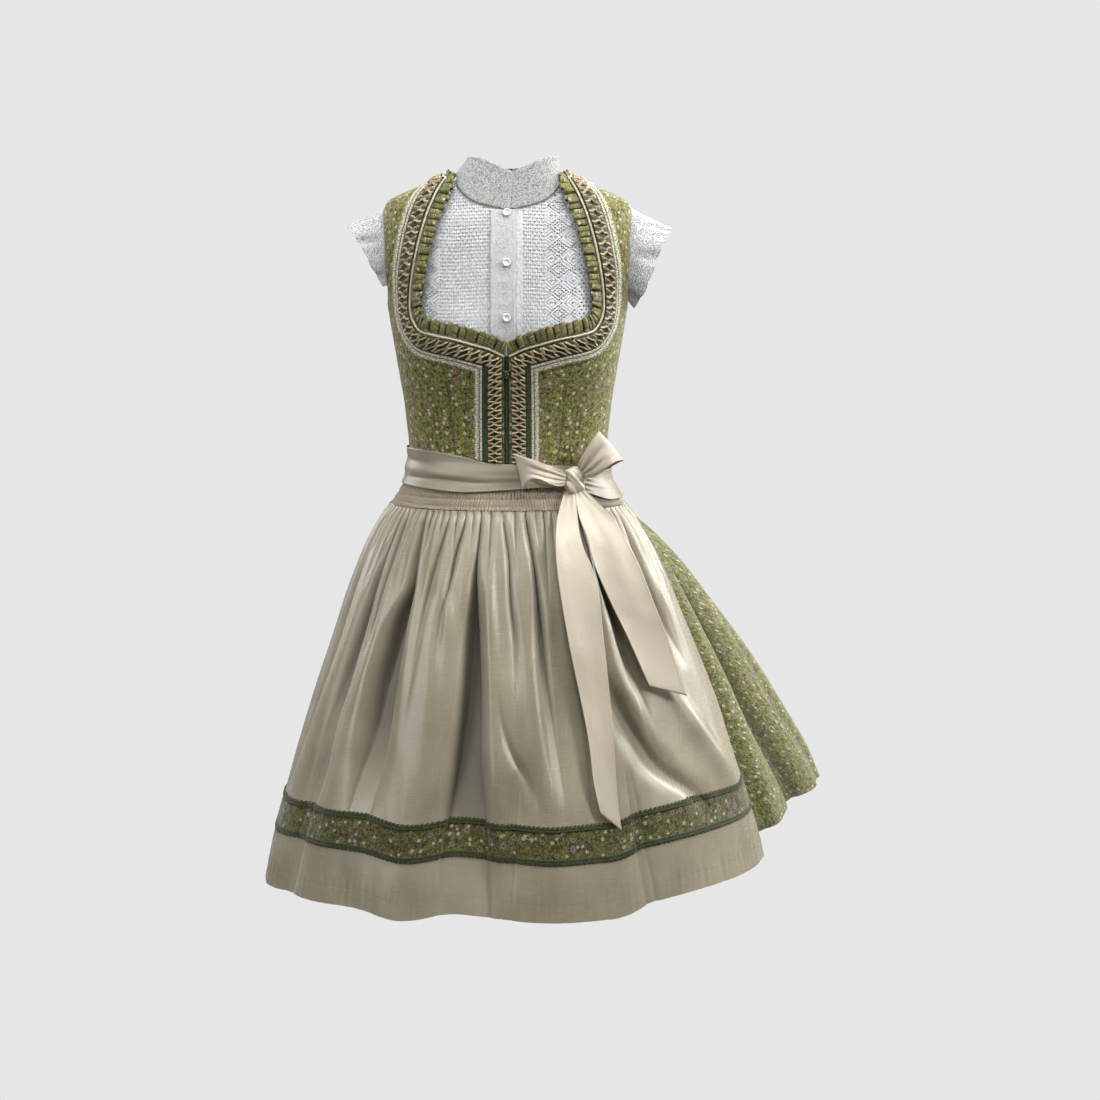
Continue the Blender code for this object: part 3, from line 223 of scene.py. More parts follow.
def through(table, column, at):
    """The smooth curve through one column of a table, read at any value of its first column."""
    rows = np.array(table, float)
    rows = rows[np.argsort(rows[:, 0])]
    xs, ys = rows[:, 0], rows[:, column]
    at = np.asarray(at, float)
    step = np.diff(xs)
    slope = np.diff(ys) / step
    middle = (slope[:-1] * step[1:] + slope[1:] * step[:-1]) / (step[:-1] + step[1:])
    steepest = 3 * np.minimum(abs(slope[:-1]), abs(slope[1:]))
    middle = np.where(slope[:-1] * slope[1:] > 0, np.clip(middle, -steepest, steepest), 0)
    tangent = np.concatenate([slope[:1], middle, slope[-1:]])
    i = np.clip(np.searchsorted(xs, at) - 1, 0, len(xs) - 2)
    t = np.clip((at - xs[i]) / step[i], 0, 1)
    return (
        (1 + 2 * t) * (1 - t) ** 2 * ys[i]
        + t * (1 - t) ** 2 * step[i] * tangent[i]
        + t * t * (3 - 2 * t) * ys[i + 1]
        + t * t * (t - 1) * step[i] * tangent[i + 1]
    )


def curves(table, at):
    """Every column of a table after the first, read at any value of the first."""
    return [through(table, column, at) for column in range(1, len(table[0]))]


def signed(degrees):
    """Degrees round the figure, brought to between -180 and 180."""
    return (degrees + 180) % 360 - 180


def unit(vectors):
    return vectors / np.linalg.norm(vectors, axis=-1, keepdims=True)


def run(points):
    """The length along a line of points, from its first."""
    return np.concatenate([[0], np.linalg.norm(np.diff(points, axis=0), axis=1).cumsum()])


def ease(t):
    """From 0 to 1, smooth at both ends."""
    t = np.clip(t, 0, 1)
    return t * t * (3 - 2 * t)


def bell(away, wide):
    """1 in the middle, and smoothly down to 0 on both sides."""
    return np.exp(-((away / wide) ** 2))


def read(path, share):
    """Rows of a path, or of any table, at shares of its count of rows."""
    at = share * (len(path) - 1)
    return np.stack([np.interp(at, np.arange(len(path)), column) for column in path.T], -1)


def figure(angle, height):
    """A point of the figure. Angle 0 is centre front and a quarter turn is the wearer's left side."""
    angle, height = np.broadcast_arrays(np.asarray(angle, float), np.asarray(height, float))
    half, front, back = curves(FIGURE, height)
    s, c = np.sin(angle), np.cos(angle)
    x = half * np.sign(s) * abs(s) ** SECTION_POWER
    y = -np.where(c > 0, front, back) * np.sign(c) * abs(c) ** SECTION_POWER
    cup = CUP_RISE * np.exp(-(((abs(x) - CUP_OUT) / CUP_WIDE) ** 2) - ((height - CUP_HEIGHT) / CUP_TALL) ** 2)
    return np.stack([x, y - cup * np.clip(3 * c, 0, 1), height], -1)


def slopes(angle, height):
    e = 1e-4
    across = (figure(angle + e, height) - figure(angle - e, height)) / (2 * e)
    down = (figure(angle, height + e) - figure(angle, height - e)) / (2 * e)
    return across, down


def lay(angle, height, lift):
    """A point of the figure moved out by lift along its normal."""
    normal = unit(np.cross(*slopes(angle, height)))
    return figure(angle, height) + normal * np.asarray(lift, float)[..., None]


def angle_at(x, height):
    """The front angle where the figure is x from the centre plane."""
    share = np.clip(abs(np.asarray(x, float)) / through(FIGURE, 1, height), 0, 0.9999)
    return np.sign(x) * np.arcsin(share ** (1 / SECTION_POWER))


def beside(path, distance):
    """A path of (angle, height) rows moved sideways over the figure, to the left of its direction."""
    path = np.array(path, float)
    points = figure(*path.T)
    reach = 7
    row = np.arange(len(points))
    forward = points[np.minimum(row + reach, len(points) - 1)] - points[np.maximum(row - reach, 0)]
    steps = 6
    for _ in range(steps):
        across, down = slopes(*path.T)
        side = np.cross(np.cross(across, down), forward)
        side *= (np.asarray(distance) / steps / np.linalg.norm(side, axis=1))[..., None]
        for row, (a, d, s) in enumerate(zip(across, down, side)):
            path[row] += np.linalg.lstsq(np.stack([a, d], 1), s, rcond=None)[0]
    return path


def armhole(turn, grow=0.0):
    """(angle, height) rows round the left armhole; turn 0 is the top and a quarter turn the front."""
    angle = math.pi / 2 - (ARMHOLE_WIDE + grow * 6) * np.sin(turn)
    return np.stack([angle, ARMHOLE_HEIGHT + (ARMHOLE_TALL + grow) * np.cos(turn)], -1)


def sash_edge(angle, column):
    return through(SASH, column, signed(np.degrees(angle)))


def folds(table, start, end, degrees, share):
    """How far the large folds stand out of the flare; start and end are the columns' own angles."""
    out = np.zeros(np.broadcast(degrees, share).shape)
    for top, hem, wide, first, halfway, low in table:
        centre = top + (hem - top) * share
        deep = ease((share - first) / (0.5 - first)) * (halfway + (low - halfway) * ease(2 * share - 1))
        out = out + deep * bell(degrees - centre, wide)
    return out * ease((degrees - start) / 4) * ease((end - degrees) / 4)



def flared(hem_table, degrees, share, lift, out):
    """A point between the ring under the band and the hem."""
    angle = np.radians(degrees)
    ring = lay(angle, np.full(np.shape(angle), FLARE_TOP), lift)
    radius, height = curves(hem_table, signed(degrees) if hem_table is SKIRT_HEM else degrees)
    away = np.stack([np.sin(angle), -np.cos(angle), np.zeros_like(angle)], -1)
    hem = radius[..., None] * away
    point = ring + (hem - ring) * through(FLARE, 1, share)[..., None]
    point[..., 2] = ring[..., 2] + (height - ring[..., 2]) * share
    return point + away * np.asarray(out)[..., None]


def supports(objects):
    """The frontmost Y of some finished objects near a place seen from the front."""
    bpy.context.view_layer.update()
    graph = bpy.context.evaluated_depsgraph_get()
    trees = [BVHTree.FromObject(obj, graph) for obj in objects]

    def frontmost(x, height, reach, fallback):
        steps = np.linspace(-reach, reach, 5)
        places = [Vector((x + dx, -1, height + dz)) for dx in steps for dz in steps]
        hits = [tree.ray_cast(place, Vector((0, 1, 0)))[0] for place in places for tree in trees]
        return min([fallback, *(hit.y for hit in hits if hit)])

    return frontmost


def smooth_path(rows, back=False):
    """(angle, height) rows through a table of (half width, height), on the front or on the back."""
    rows = np.array(rows)
    chord = run(rows)
    half, height = curves(np.column_stack([chord, rows]), np.linspace(0, chord[-1], 120))
    angle = angle_at(half, height)
    return np.stack([math.pi - angle if back else angle, height], -1)


def straight(start, end):
    return np.linspace(start, end, 40)


def joined(*paths):
    """Paths one after the other, as one path of (angle, height) rows spaced evenly over the figure."""
    whole = np.concatenate(paths)
    length = run(figure(*whole.T))
    even = np.linspace(0, length[-1], 240)
    return np.stack([np.interp(even, length, column) for column in whole.T], -1)


def front_neckline():
    """From centre front to the shoulder seam."""
    return joined(smooth_path(NECKLINE), [(QUARTER - SIDE_GAP, SHOULDER_NECK_HEIGHT)])


def princess_seam(gap):
    return smooth_path([(half + gap, height) for height, half in PRINCESS_SEAM])


def cut_at(path, x, keep_start):
    """The stretch of the neckline before or after it crosses the top of the princess seam."""
    points = figure(*path.T)
    crossing = np.argmax(points[:, 0] > x)
    return path[: crossing + 1] if keep_start else path[crossing:]


def side_name(side):
    return "left" if side > 0 else "right"


def back_neckline():
    """From the wearer's left shoulder round the back to the right one."""
    half = joined([(QUARTER + SIDE_GAP, SHOULDER_NECK_HEIGHT)], smooth_path(BACK_NECKLINE, True))
    return joined(half, mirrored_behind(half))


def mirrored_behind(path):
    """The same path on the other side of the centre back, in the opposite direction."""
    return np.stack([2 * math.pi - path[::-1, 0], path[::-1, 1]], -1)


def back_edges(hem, hole, top):
    """Edges of a back between its side seams; the top runs from shoulder tip to shoulder tip."""
    start = joined([(QUARTER + SIDE_GAP, hem)], hole)
    end = mirrored_behind(start)[::-1]
    whole_top = joined(start[-1:], top, end[-1:])
    return straight(start[0], end[0]), whole_top, start, end


def trim_edge(side, from_neck, from_front, neck_points, front_points):
    """A line beside the neckline that turns down beside the zip, from the shoulder to the sash."""
    neck = front_neckline()[::-1]
    moved = beside(neck, from_neck)
    x = figure(*moved.T)[:, 0]
    kept = moved[: np.argmax(x < from_front)] if (x < from_front).any() else moved
    corner_height = kept[-1, 1]
    corner = (float(angle_at(from_front, corner_height)), corner_height)
    upper = read(joined(kept, [corner]), np.linspace(0, 1, neck_points + 1))
    low = float(sash_edge(side * float(angle_at(from_front, SASH_AT_FRONT)), 1)) + 4 * SEAM
    heights = np.linspace(corner_height, low, front_points + 1)[1:]
    lower = np.stack([angle_at(np.full(front_points, from_front), heights), heights], -1)
    return np.concatenate([upper, lower])


def between(first, second):
    """A function of the shares (along, across) between two lines of (angle, height)."""

    def at(u, v):
        a, b = read(first, u), read(second, u)
        return a + (b - a) * v[:, None]

    return at



def collar_point(degrees, share):
    """A point of the stand collar between its seam and its upper edge."""
    angle = np.radians(degrees)
    base, upper = curves(COLLAR, abs(signed(degrees)))
    seam = figure(angle, base)
    s, c = np.sin(angle), np.cos(angle)
    x = COLLAR_TOP_HALF * np.sign(s) * abs(s) ** SECTION_POWER
    y = -np.where(c > 0, COLLAR_TOP_FRONT, COLLAR_TOP_BACK) * np.sign(c) * abs(c) ** SECTION_POWER
    return seam + (np.stack([x, y, upper], -1) - seam) * share[:, None]


# ---------- meshes ----------



def add(name, data):
    """A new object in the scene."""
    obj = bpy.data.objects.new(name, data)
    bpy.context.scene.collection.objects.link(obj)
    return obj


def piece(name, points, faces, surface, uv, side=1, wall=0, offset=1):
    """An object from points, four-cornered faces and metric UVs. Side -1 mirrors it, and wall thickens it."""
    faces = np.asarray(faces, np.int32)
    if side < 0:
        points, faces = points * (-1, 1, 1), faces[:, ::-1]
    mesh = bpy.data.meshes.new(name)
    mesh.vertices.add(len(points))
    mesh.vertices.foreach_set("co", np.asarray(points, np.float32).ravel())
    mesh.loops.add(faces.size)
    mesh.loops.foreach_set("vertex_index", faces.ravel())
    mesh.polygons.add(len(faces))
    mesh.polygons.foreach_set("loop_start", np.arange(0, faces.size, 4, dtype=np.int32))
    mesh.polygons.foreach_set("use_smooth", np.full(len(faces), True))
    mesh.update(calc_edges=True)
    layer = mesh.uv_layers.new(name="UVMap")
    layer.data.foreach_set("uv", np.asarray(uv, np.float32)[faces.ravel()].ravel())
    mesh.validate()
    mesh.materials.append(surface)
    obj = add(name, mesh)
    if wall:
        solid = obj.modifiers.new("Wall", "SOLIDIFY")
        solid.thickness, solid.offset = wall, offset
    return obj


def shade(obj, depth):
    """Marks how deep each point lies in a fold. The materials paint shade there."""
    obj.data.attributes.new("hollow", "FLOAT", "POINT").data.foreach_set("value", depth.astype(np.float32))
    return obj


def quads(columns, rows, start=0):
    index = start + np.arange((columns + 1) * (rows + 1)).reshape(rows + 1, columns + 1)
    corners = (index[:-1, :-1], index[:-1, 1:], index[1:, 1:], index[1:, :-1])
    return np.stack([c.ravel() for c in corners], -1)


def shares(columns, rows):
    """The shares (across, up) of a grid's points. Columns and rows are counts, or the shares of the lines."""
    lines = [np.linspace(0, 1, n + 1) if isinstance(n, int) else np.asarray(n, float) for n in (columns, rows)]
    u, v = np.meshgrid(*lines)
    return u.ravel(), v.ravel(), len(lines[0]) - 1, len(lines[1]) - 1


def metric(points, columns, rows):
    """UVs in metres: each row's and column's length along the cloth, centred across."""
    net = points.reshape(rows + 1, columns + 1, 3)
    wide = np.linalg.norm(np.diff(net, axis=1), axis=2).cumsum(1)
    wide = np.pad(wide, ((0, 0), (1, 0)))
    tall = np.linalg.norm(np.diff(net, axis=0), axis=2).cumsum(0)
    return np.stack([(wide - wide[:, -1:] / 2).ravel(), np.pad(tall, ((1, 0), (0, 0))).ravel()], -1)


def plain(columns, rows, place):
    """Points, faces and metric UVs of a grid placed by a function of the shares (across, up)."""
    u, v, columns, rows = shares(columns, rows)
    points = place(u, v)
    return points, quads(columns, rows), metric(points, columns, rows)


def cloth(name, columns, rows, place, surface, wall=0.8 * MM, offset=1, side=1, uv=None):
    """A sheet placed by a function of the shares (across, up)."""
    points, faces, cut = plain(columns, rows, place)
    if uv:
        cut = uv(*shares(columns, rows)[:2])
    return piece(name, points, faces, surface, cut, side, wall, offset)


def charted(columns, rows, chart):
    """A chart of rows of o and . repeated over cells; o is a hole."""
    marks = np.array([[mark == "o" for mark in row] for row in chart])
    return marks[np.arange(rows)[:, None] % len(chart), np.arange(columns) % len(chart[0])]


RING = np.array([(0, 0), (1, 0), (2, 0), (2, 1), (2, 2), (1, 2), (0, 2), (0, 1)])
LEAST_FACE = 2e-8  # m2


def pierced(holes, radius):
    """Cell coordinates and faces of a net; a cell whose mark is true has a round hole."""
    rows, columns = holes.shape
    wide, tall = 2 * columns + 1, 2 * rows + 1
    index = np.arange(wide * tall).reshape(tall, wide)
    a, b = np.meshgrid(np.arange(wide) / 2, np.arange(tall) / 2)
    faces = []
    j, i = np.nonzero(~holes)
    for r, c in ((2 * j + down, 2 * i + over) for down in (0, 1) for over in (0, 1)):
        faces.append(np.stack([index[r, c], index[r, c + 1], index[r + 1, c + 1], index[r + 1, c]], -1))
    j, i = np.nonzero(holes)
    rim = [index[2 * j + y, 2 * i + x] for x, y in RING]
    base = wide * tall + 8 * np.arange(len(j))
    for k in range(8):
        n = (k + 1) % 8
        faces.append(np.stack([rim[k], rim[n], base + n, base + k], -1))
    centre = np.stack([i + 0.5, j + 0.5], -1)
    edge = (centre[:, None, :] + unit(RING - 1) * radius).reshape(-1, 2)
    return np.concatenate([np.stack([a.ravel(), b.ravel()], -1), edge]), np.concatenate(faces)


def without_slivers(points, faces):
    a, b, c, d = (points[faces[:, k]] for k in range(4))
    return faces[np.linalg.norm(np.cross(c - a, d - b), axis=1) / 2 > LEAST_FACE]


def lacework(name, holes, radius, place, surface, cell, side=1, extra=(), wall=0):
    """Pierced cloth; place turns cell coordinates into points, and extra holds plain grids that join it."""
    at, faces = pierced(holes, radius)
    points, cut = place(*at.T), at * cell
    for more_points, more_faces, more_cut in extra:
        faces = np.concatenate([faces, more_faces + len(points)])
        points, cut = np.concatenate([points, more_points]), np.concatenate([cut, more_cut])
    return piece(name, points, without_slivers(points, faces), surface, cut, side, wall)


def tube(name, path, radius, surface):
    """A round cord along a line of points."""
    sides = 10
    along = unit(np.gradient(path, axis=0))
    first = np.cross(along, (0.0, 0.0, 1.0))
    weak = np.linalg.norm(first, axis=1) < 0.2
    first[weak] = np.cross(along[weak], (1.0, 0.0, 0.0))
    first = unit(first)
    second = np.cross(along, first)
    turn = np.linspace(0, 2 * math.pi, sides + 1)
    ring = first[:, None] * np.cos(turn)[None, :, None] + second[:, None] * np.sin(turn)[None, :, None]
    points = (path[:, None] + ring * radius).reshape(-1, 3)
    cut = np.stack(np.broadcast_arrays(turn * radius, run(path)[:, None]), -1).reshape(-1, 2)
    return piece(name, points, quads(sides, len(path) - 1), surface, cut)


def ripple(at, *waves):
    """A sum of uneven waves; each is (count, phase, share)."""
    return sum(share * np.sin(2 * math.pi * count * at + phase) for count, phase, share in waves)


# The cut of what shows of each piece of cloth, without seam allowances. A name stands for both sides of a pair.
SHEETS = {
    # node: (width, length) in metres, flat area in m2 or None for a rectangle, how it is held, what it lies on
    "blouse_front": ((0.197, 0.328), 0.0590, "stretched", ()),
    "blouse_back": ((0.391, 0.325), 0.1190, "stretched", ()),
    "blouse_sleeve_left": ((0.300, 0.056), 0.0108, "draped", ()),
    "blouse_sleeve_right": ((0.300, 0.050), 0.0092, "draped", ()),
    "blouse_placket": ((0.034, 0.183), None, "stretched", ("blouse_front_cloth_left",)),
    "blouse_collar_left": ((0.242, 0.055), 0.0066, "folded", ()),
    "blouse_collar_right": ((0.247, 0.061), 0.0078, "folded", ()),
    "bodice_front": ((0.101, 0.193), 0.0135, "stretched", ()),
    "bodice_side": ((0.130, 0.476), 0.0418, "stretched", ()),
    "bodice_back": ((0.577, 0.466), 0.1500, "stretched", ("blouse_back_cloth",)),
    "neck_ruffle": ((1.020, 0.0135), None, "folded", ()),
    "neck_ribbon": ((0.470, 0.0255), None, "stretched", ()),
    "neck_lace": ((0.475, 0.0115), None, "stretched", ()),
    "neck_braid": ((0.620, 0.0205), None, "folded", ()),
    "skirt_front": ((0.900, 0.580), 0.4200, "gathered", ()),
    "skirt_back": ((1.300, 0.600), 0.5600, "gathered", ()),
    "apron_band": ((0.780, 0.050), None, "gathered", ("skirt_front_cloth",)),
    "apron_panel": ((1.070, 0.530), None, "gathered", ("skirt_front_cloth",)),
    "apron_hem_band": ((0.950, 0.0424), None, "draped", ("apron_cloth",)),
    "apron_edging": ((0.957, 0.010), 0.0080, "draped", ("apron_hem_print",)),
    "sash": ((0.840, 0.059), 0.0400, "stretched", ("bodice_back_cloth", "apron_band_shirring")),
    "bow_knot": ((0.080, 0.050), 0.0035, "folded", ("sash_cloth",)),
    "bow_loop_right": ((0.050, 0.130), 0.0055, "folded", ("sash_cloth",)),
    "bow_loop_left": ((0.052, 0.112), None, "folded", ("sash_cloth",)),
    "bow_tail_long": ((0.050, 0.400), None, "draped", ("apron_cloth",)),
    "bow_tail_short": ((0.062, 0.275), None, "draped", ("apron_cloth",)),
}


def hang(obj, node):
    """Hangs a piece on the frame in place of its node, and hides the node; the cut of its cloth is looked up but not
    used.
    """
    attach(obj, "root")
    if node:
        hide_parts(node)
        cut = SHEETS.get(node) or SHEETS.get(node.rsplit("_", 1)[0])
        if cut:
            flat, area, held, on = cut
            list(on)
    return obj


# ---------- materials ----------


def arithmetic(operation):
    """A method that adds one math node."""
    return lambda self, *values: self.math(operation, *values)


class Shader:
    """A material's node tree, built up by short calls that return sockets."""

    add, sub, mul, div, mad = map(arithmetic, ("ADD", "SUBTRACT", "MULTIPLY", "DIVIDE", "MULTIPLY_ADD"))
    abs, sin, cos, sqrt, atan2 = map(arithmetic, ("ABSOLUTE", "SINE", "COSINE", "SQRT", "ARCTAN2"))
    fract, more, less = map(arithmetic, ("FRACT", "GREATER_THAN", "LESS_THAN"))

    def __init__(self, name, roughness, **constants):
        self.material = bpy.data.materials.new(name)
        self.material.use_nodes = True
        self.tree = self.material.node_tree
        self.surface = self.tree.nodes["Principled BSDF"]
        for key, value in {"Roughness": roughness, **constants}.items():
            self.surface.inputs[key.replace("_", " ")].default_value = value
        self.uv = self.node("ShaderNodeTexCoord").outputs["UV"]

    def node(self, kind, inputs=(), **settings):
        made = self.tree.nodes.new(kind)
        for key, value in settings.items():
            setattr(made, key, value)
        for key, value in dict(inputs).items():
            if isinstance(value, bpy.types.NodeSocket):
                self.tree.links.new(value, made.inputs[key])
            elif isinstance(value, tuple) and made.inputs[key].type == "RGBA":
                made.inputs[key].default_value = (*value, 1)
            else:
                made.inputs[key].default_value = value
        return made

    def math(self, operation, first, second=0.0, third=None):
        values = {0: first, 1: second} if third is None else {0: first, 1: second, 2: third}
        return self.node("ShaderNodeMath", values, operation=operation).outputs[0]

    def vector(self, operation, first, second=(0.0, 0.0, 0.0)):
        return self.node("ShaderNodeVectorMath", {0: first, 1: second}, operation=operation).outputs[0]

    def split(self, vector):
        return self.node("ShaderNodeSeparateXYZ", {0: vector}).outputs[:]

    def scaled(self, scale, turn=0.0, shift=(0.0, 0.0, 0.0)):
        """The cloth's own coordinates, as counts per metre."""
        scale = scale if isinstance(scale, tuple) else (scale, scale, scale)
        values = {"Vector": self.uv, "Scale": scale, "Rotation": (0.0, 0.0, turn), "Location": shift}
        return self.node("ShaderNodeMapping", values).outputs[0]

    def noise(self, scale, detail=2.0, rough=0.5, turn=0.0, shift=(0.0, 0.0, 0.0)):
        values = {"Vector": self.scaled(scale, turn, shift), "Scale": 1.0, "Detail": detail, "Roughness": rough}
        return self.node("ShaderNodeTexNoise", values, noise_dimensions="2D").outputs[0]

    def ramp(self, value, low, high, to_low=0.0, to_high=1.0, kind="SMOOTHSTEP"):
        """Low to high, turned into to_low to to_high."""
        values = {"Value": value, "From Min": low, "From Max": high, "To Min": to_low, "To Max": to_high}
        return self.node("ShaderNodeMapRange", values, interpolation_type=kind).outputs[0]

    def fall(self, value, low, high):
        """1 below low and 0 above high."""
        return self.ramp(value, low, high, 1.0, 0.0)

    def mix(self, factor, first, second):
        return self.node("ShaderNodeMix", {0: factor, 6: first, 7: second}, data_type="RGBA").outputs[2]

    def hollow(self):
        """How deep the cloth lies in a fold, from its mesh: it sets painted shade, and the satin's roughness."""
        return self.node("ShaderNodeAttribute", attribute_name="hollow").outputs["Fac"]

    def weave(self, pitch, turn=0.0, uneven=0.35):
        """Plain weave: threads over and under each other, as a height from 0 to 1."""
        x, y, _ = self.split(self.scaled(math.pi / pitch, turn))
        wave = self.mul(self.sin(x), self.sin(y))
        drift = self.noise(0.9 / pitch, 1.0, 0.5, turn)
        return self.mad(drift, uneven, self.mul(wave, 0.5))

    def cells(self, scale, shift=(0.0, 0.0, 0.0), stretch=(1.0, 1.0, 1.0)):
        """Scattered places: distance in metres, two random values, and the offset from the place."""
        at = self.scaled((scale * stretch[0], scale * stretch[1], scale), 0.0, shift)
        values = {"Vector": at, "Scale": 1.0, "Randomness": 1.0}
        made = self.node("ShaderNodeTexVoronoi", values, voronoi_dimensions="2D", feature="F1")
        distance = self.div(made.outputs["Distance"], scale)
        colour = self.node("ShaderNodeSeparateColor", {0: made.outputs["Color"]}).outputs
        return distance, colour[0], colour[1], self.vector("SUBTRACT", at, made.outputs["Position"])

    def flower(self, cell, radius, petals, lobe):
        """A mask of petalled flowers at scattered places."""
        distance, _, size, offset = cell
        x, y, _ = self.split(offset)
        turn = self.mad(size, 6.0, self.mul(self.atan2(y, x), float(petals)))
        reach = self.mad(self.cos(turn), lobe * radius, (1 - lobe) * radius)
        reach = self.mul(reach, self.mad(size, 0.5, 0.7))
        return self.fall(self.sub(distance, reach), -0.10 * radius, 0.14 * radius)

    def done(self, colour, height, distance, strength, rough=None):
        """Joins the colour, the relief and any roughness to the surface, and gives the material."""
        bump = self.node("ShaderNodeBump", {"Height": height, "Distance": distance, "Strength": strength})
        for name, value in (("Base Color", colour), ("Roughness", rough), ("Normal", bump.outputs[0])):
            if value is not None:
                self.tree.links.new(value, self.surface.inputs[name])
        return self.material



def floral(name, tint, bloom=1.0, petal=0.92, seams=False):
    """Olive cotton with scattered small flowers and mottled leaves."""
    s = Shader(name, 0.82, Sheen_Weight=0.25, Sheen_Roughness=0.5, Specular_IOR_Level=0.25)
    shadow = (0.030, 0.030, 0.012)

    def dyed(colour):
        return tuple(part * share for part, share in zip(colour, tint))

    def pale(colour):
        return tuple(part * petal for part in colour)

    def scattered(cell, near, far, chance, most):
        """Round spots at some of the scattered places."""
        return s.mul(s.fall(cell[0], near, far), s.ramp(cell[1], chance, most))

    tone = s.noise(95.0, 3.0, 0.65)
    ground = s.mix(s.ramp(tone, 0.36, 0.64), dyed((0.128, 0.142, 0.044)), dyed((0.262, 0.272, 0.112)))
    fine = s.noise(420.0, 2.0, 0.6, 0.7)
    ground = s.mix(s.ramp(fine, 0.48, 0.62), ground, dyed((0.070, 0.076, 0.024)))
    light = s.noise(330.0, 2.0, 0.6, 0.2, (9.0, 2.0, 0.0))
    ground = s.mix(s.mul(s.ramp(light, 0.56, 0.68), 0.7), ground, dyed((0.430, 0.440, 0.240)))
    brown = s.noise(150.0, 2.0, 0.55, 0.3, (4.0, 7.0, 0.0))
    ground = s.mix(s.mul(s.ramp(brown, 0.54, 0.64), 0.75), ground, dyed((0.125, 0.070, 0.042)))
    leaves = scattered(s.cells(165.0, (3.1, 1.7, 0.0), (1.0, 0.78, 1.0)), 0.0013, 0.0023, 0.55, 0.59)
    ground = s.mix(s.mul(leaves, 0.75), ground, dyed((0.046, 0.058, 0.018)))
    sprigs = scattered(s.cells(190.0, (8.3, 5.1, 0.0), (0.84, 1.0, 1.0)), 0.0010, 0.0021, 0.60, 0.65)
    ground = s.mix(s.mul(sprigs, 0.5), ground, dyed((0.300, 0.305, 0.130)))
    maroon = s.cells(88.0, (1.3, 9.4, 0.0))
    buds = s.mul(s.flower(maroon, 0.0027, 3, 0.3), s.ramp(maroon[1], 0.36, 0.39))
    ground = s.mix(buds, ground, s.mix(maroon[2], dyed((0.120, 0.036, 0.036)), dyed((0.070, 0.026, 0.044))))
    mauve = s.cells(54.0, (5.2, 2.6, 0.0))
    show = s.ramp(mauve[1], 0.52, 0.55)
    heads = s.mul(s.flower(mauve, 0.0042 * bloom, 6, 0.18), show)
    ground = s.mix(heads, ground, s.mix(mauve[2], pale((0.350, 0.250, 0.205)), pale((0.275, 0.180, 0.165))))
    hearts = s.mul(s.fall(mauve[0], 0.0010, 0.0020), show)
    ground = s.mix(hearts, ground, dyed((0.150, 0.060, 0.080)))
    cream = s.cells(74.0, (0.4, 6.8, 0.0))
    show = s.ramp(cream[1], 0.44, 0.47)
    small = s.mul(s.flower(cream, 0.0024 * bloom, 5, 0.22), show)
    ground = s.mix(small, ground, s.mix(cream[2], pale((0.680, 0.690, 0.590)), pale((0.520, 0.525, 0.330))))
    eyes = s.mul(s.fall(cream[0], 0.0004, 0.0009), show)
    ground = s.mix(eyes, ground, dyed((0.420, 0.340, 0.100)))
    # Painted shade where the mesh marks the cloth as lying deep in a fold.
    ground = s.mix(s.mul(s.ramp(s.hollow(), 0.0, 1.0), 0.7), ground, dyed(shadow))
    height = s.weave(0.00055)
    if seams:
        across, up, _ = s.split(s.uv)
        line = s.ramp(up, 0.14, 0.35, 0.098, 0.225)
        away = s.abs(s.sub(s.abs(across), line))
        sewn = s.mul(s.fall(away, 0.0006, 0.0019), s.fall(up, 0.40, 0.44))
        ground = s.mix(s.mul(sewn, 0.8), ground, dyed(shadow))
        height = s.mad(sewn, -3.0, height)
    return s.done(ground, height, 0.00012, 0.5)


def satin(name, deep, pale, roughness, sheen=0.35, hem_line=None):
    """Slubby satin: a fine weave with long uneven threads, and a soft gloss."""
    s = Shader(name, roughness, Sheen_Weight=sheen, Sheen_Roughness=0.35, Specular_IOR_Level=0.62)
    across = s.noise((38.0, 2600.0, 1.0), 2.0, 0.6)
    down = s.noise((2300.0, 30.0, 1.0), 2.0, 0.6, 0.0, (3.0, 5.0, 0.0))
    slub = s.add(s.ramp(across, 0.60, 0.82), s.ramp(down, 0.62, 0.84))
    broad = s.noise(9.0, 2.0, 0.5)
    tone = s.add(s.add(s.mul(across, 0.28), s.mul(down, 0.24)), s.mul(broad, 0.48))
    colour = s.mix(s.ramp(tone, 0.25, 0.75), deep, pale)
    rough = s.ramp(slub, 0.0, 1.6, roughness - 0.05, roughness + 0.14, "LINEAR")
    height = s.mad(slub, 0.6, s.weave(0.00042))
    if hem_line:
        x, y, _ = s.split(s.uv)
        away = s.abs(s.sub(y, hem_line))
        dash = s.sin(s.mul(x, 2 * math.pi / 0.0030))
        line = s.mul(s.fall(away, 0.0003, 0.0008), s.ramp(dash, -0.6, -0.1))
        colour = s.mix(s.mul(line, 0.22), colour, tuple(0.5 * c for c in deep))
        height = s.mad(s.fall(away, 0.0004, 0.0022), -1.6, height)
        # Painted shade deep in the folds, where the satin is also made rougher.
        hollow = s.hollow()
        colour = s.mix(s.mul(s.ramp(hollow, 0.10, 1.0), 0.72), colour, tuple(0.30 * c for c in deep))
        rough = s.add(rough, s.ramp(hollow, 0.05, 0.55, 0.0, 0.40))
    return s.done(colour, height, 0.00010, 0.55, rough)


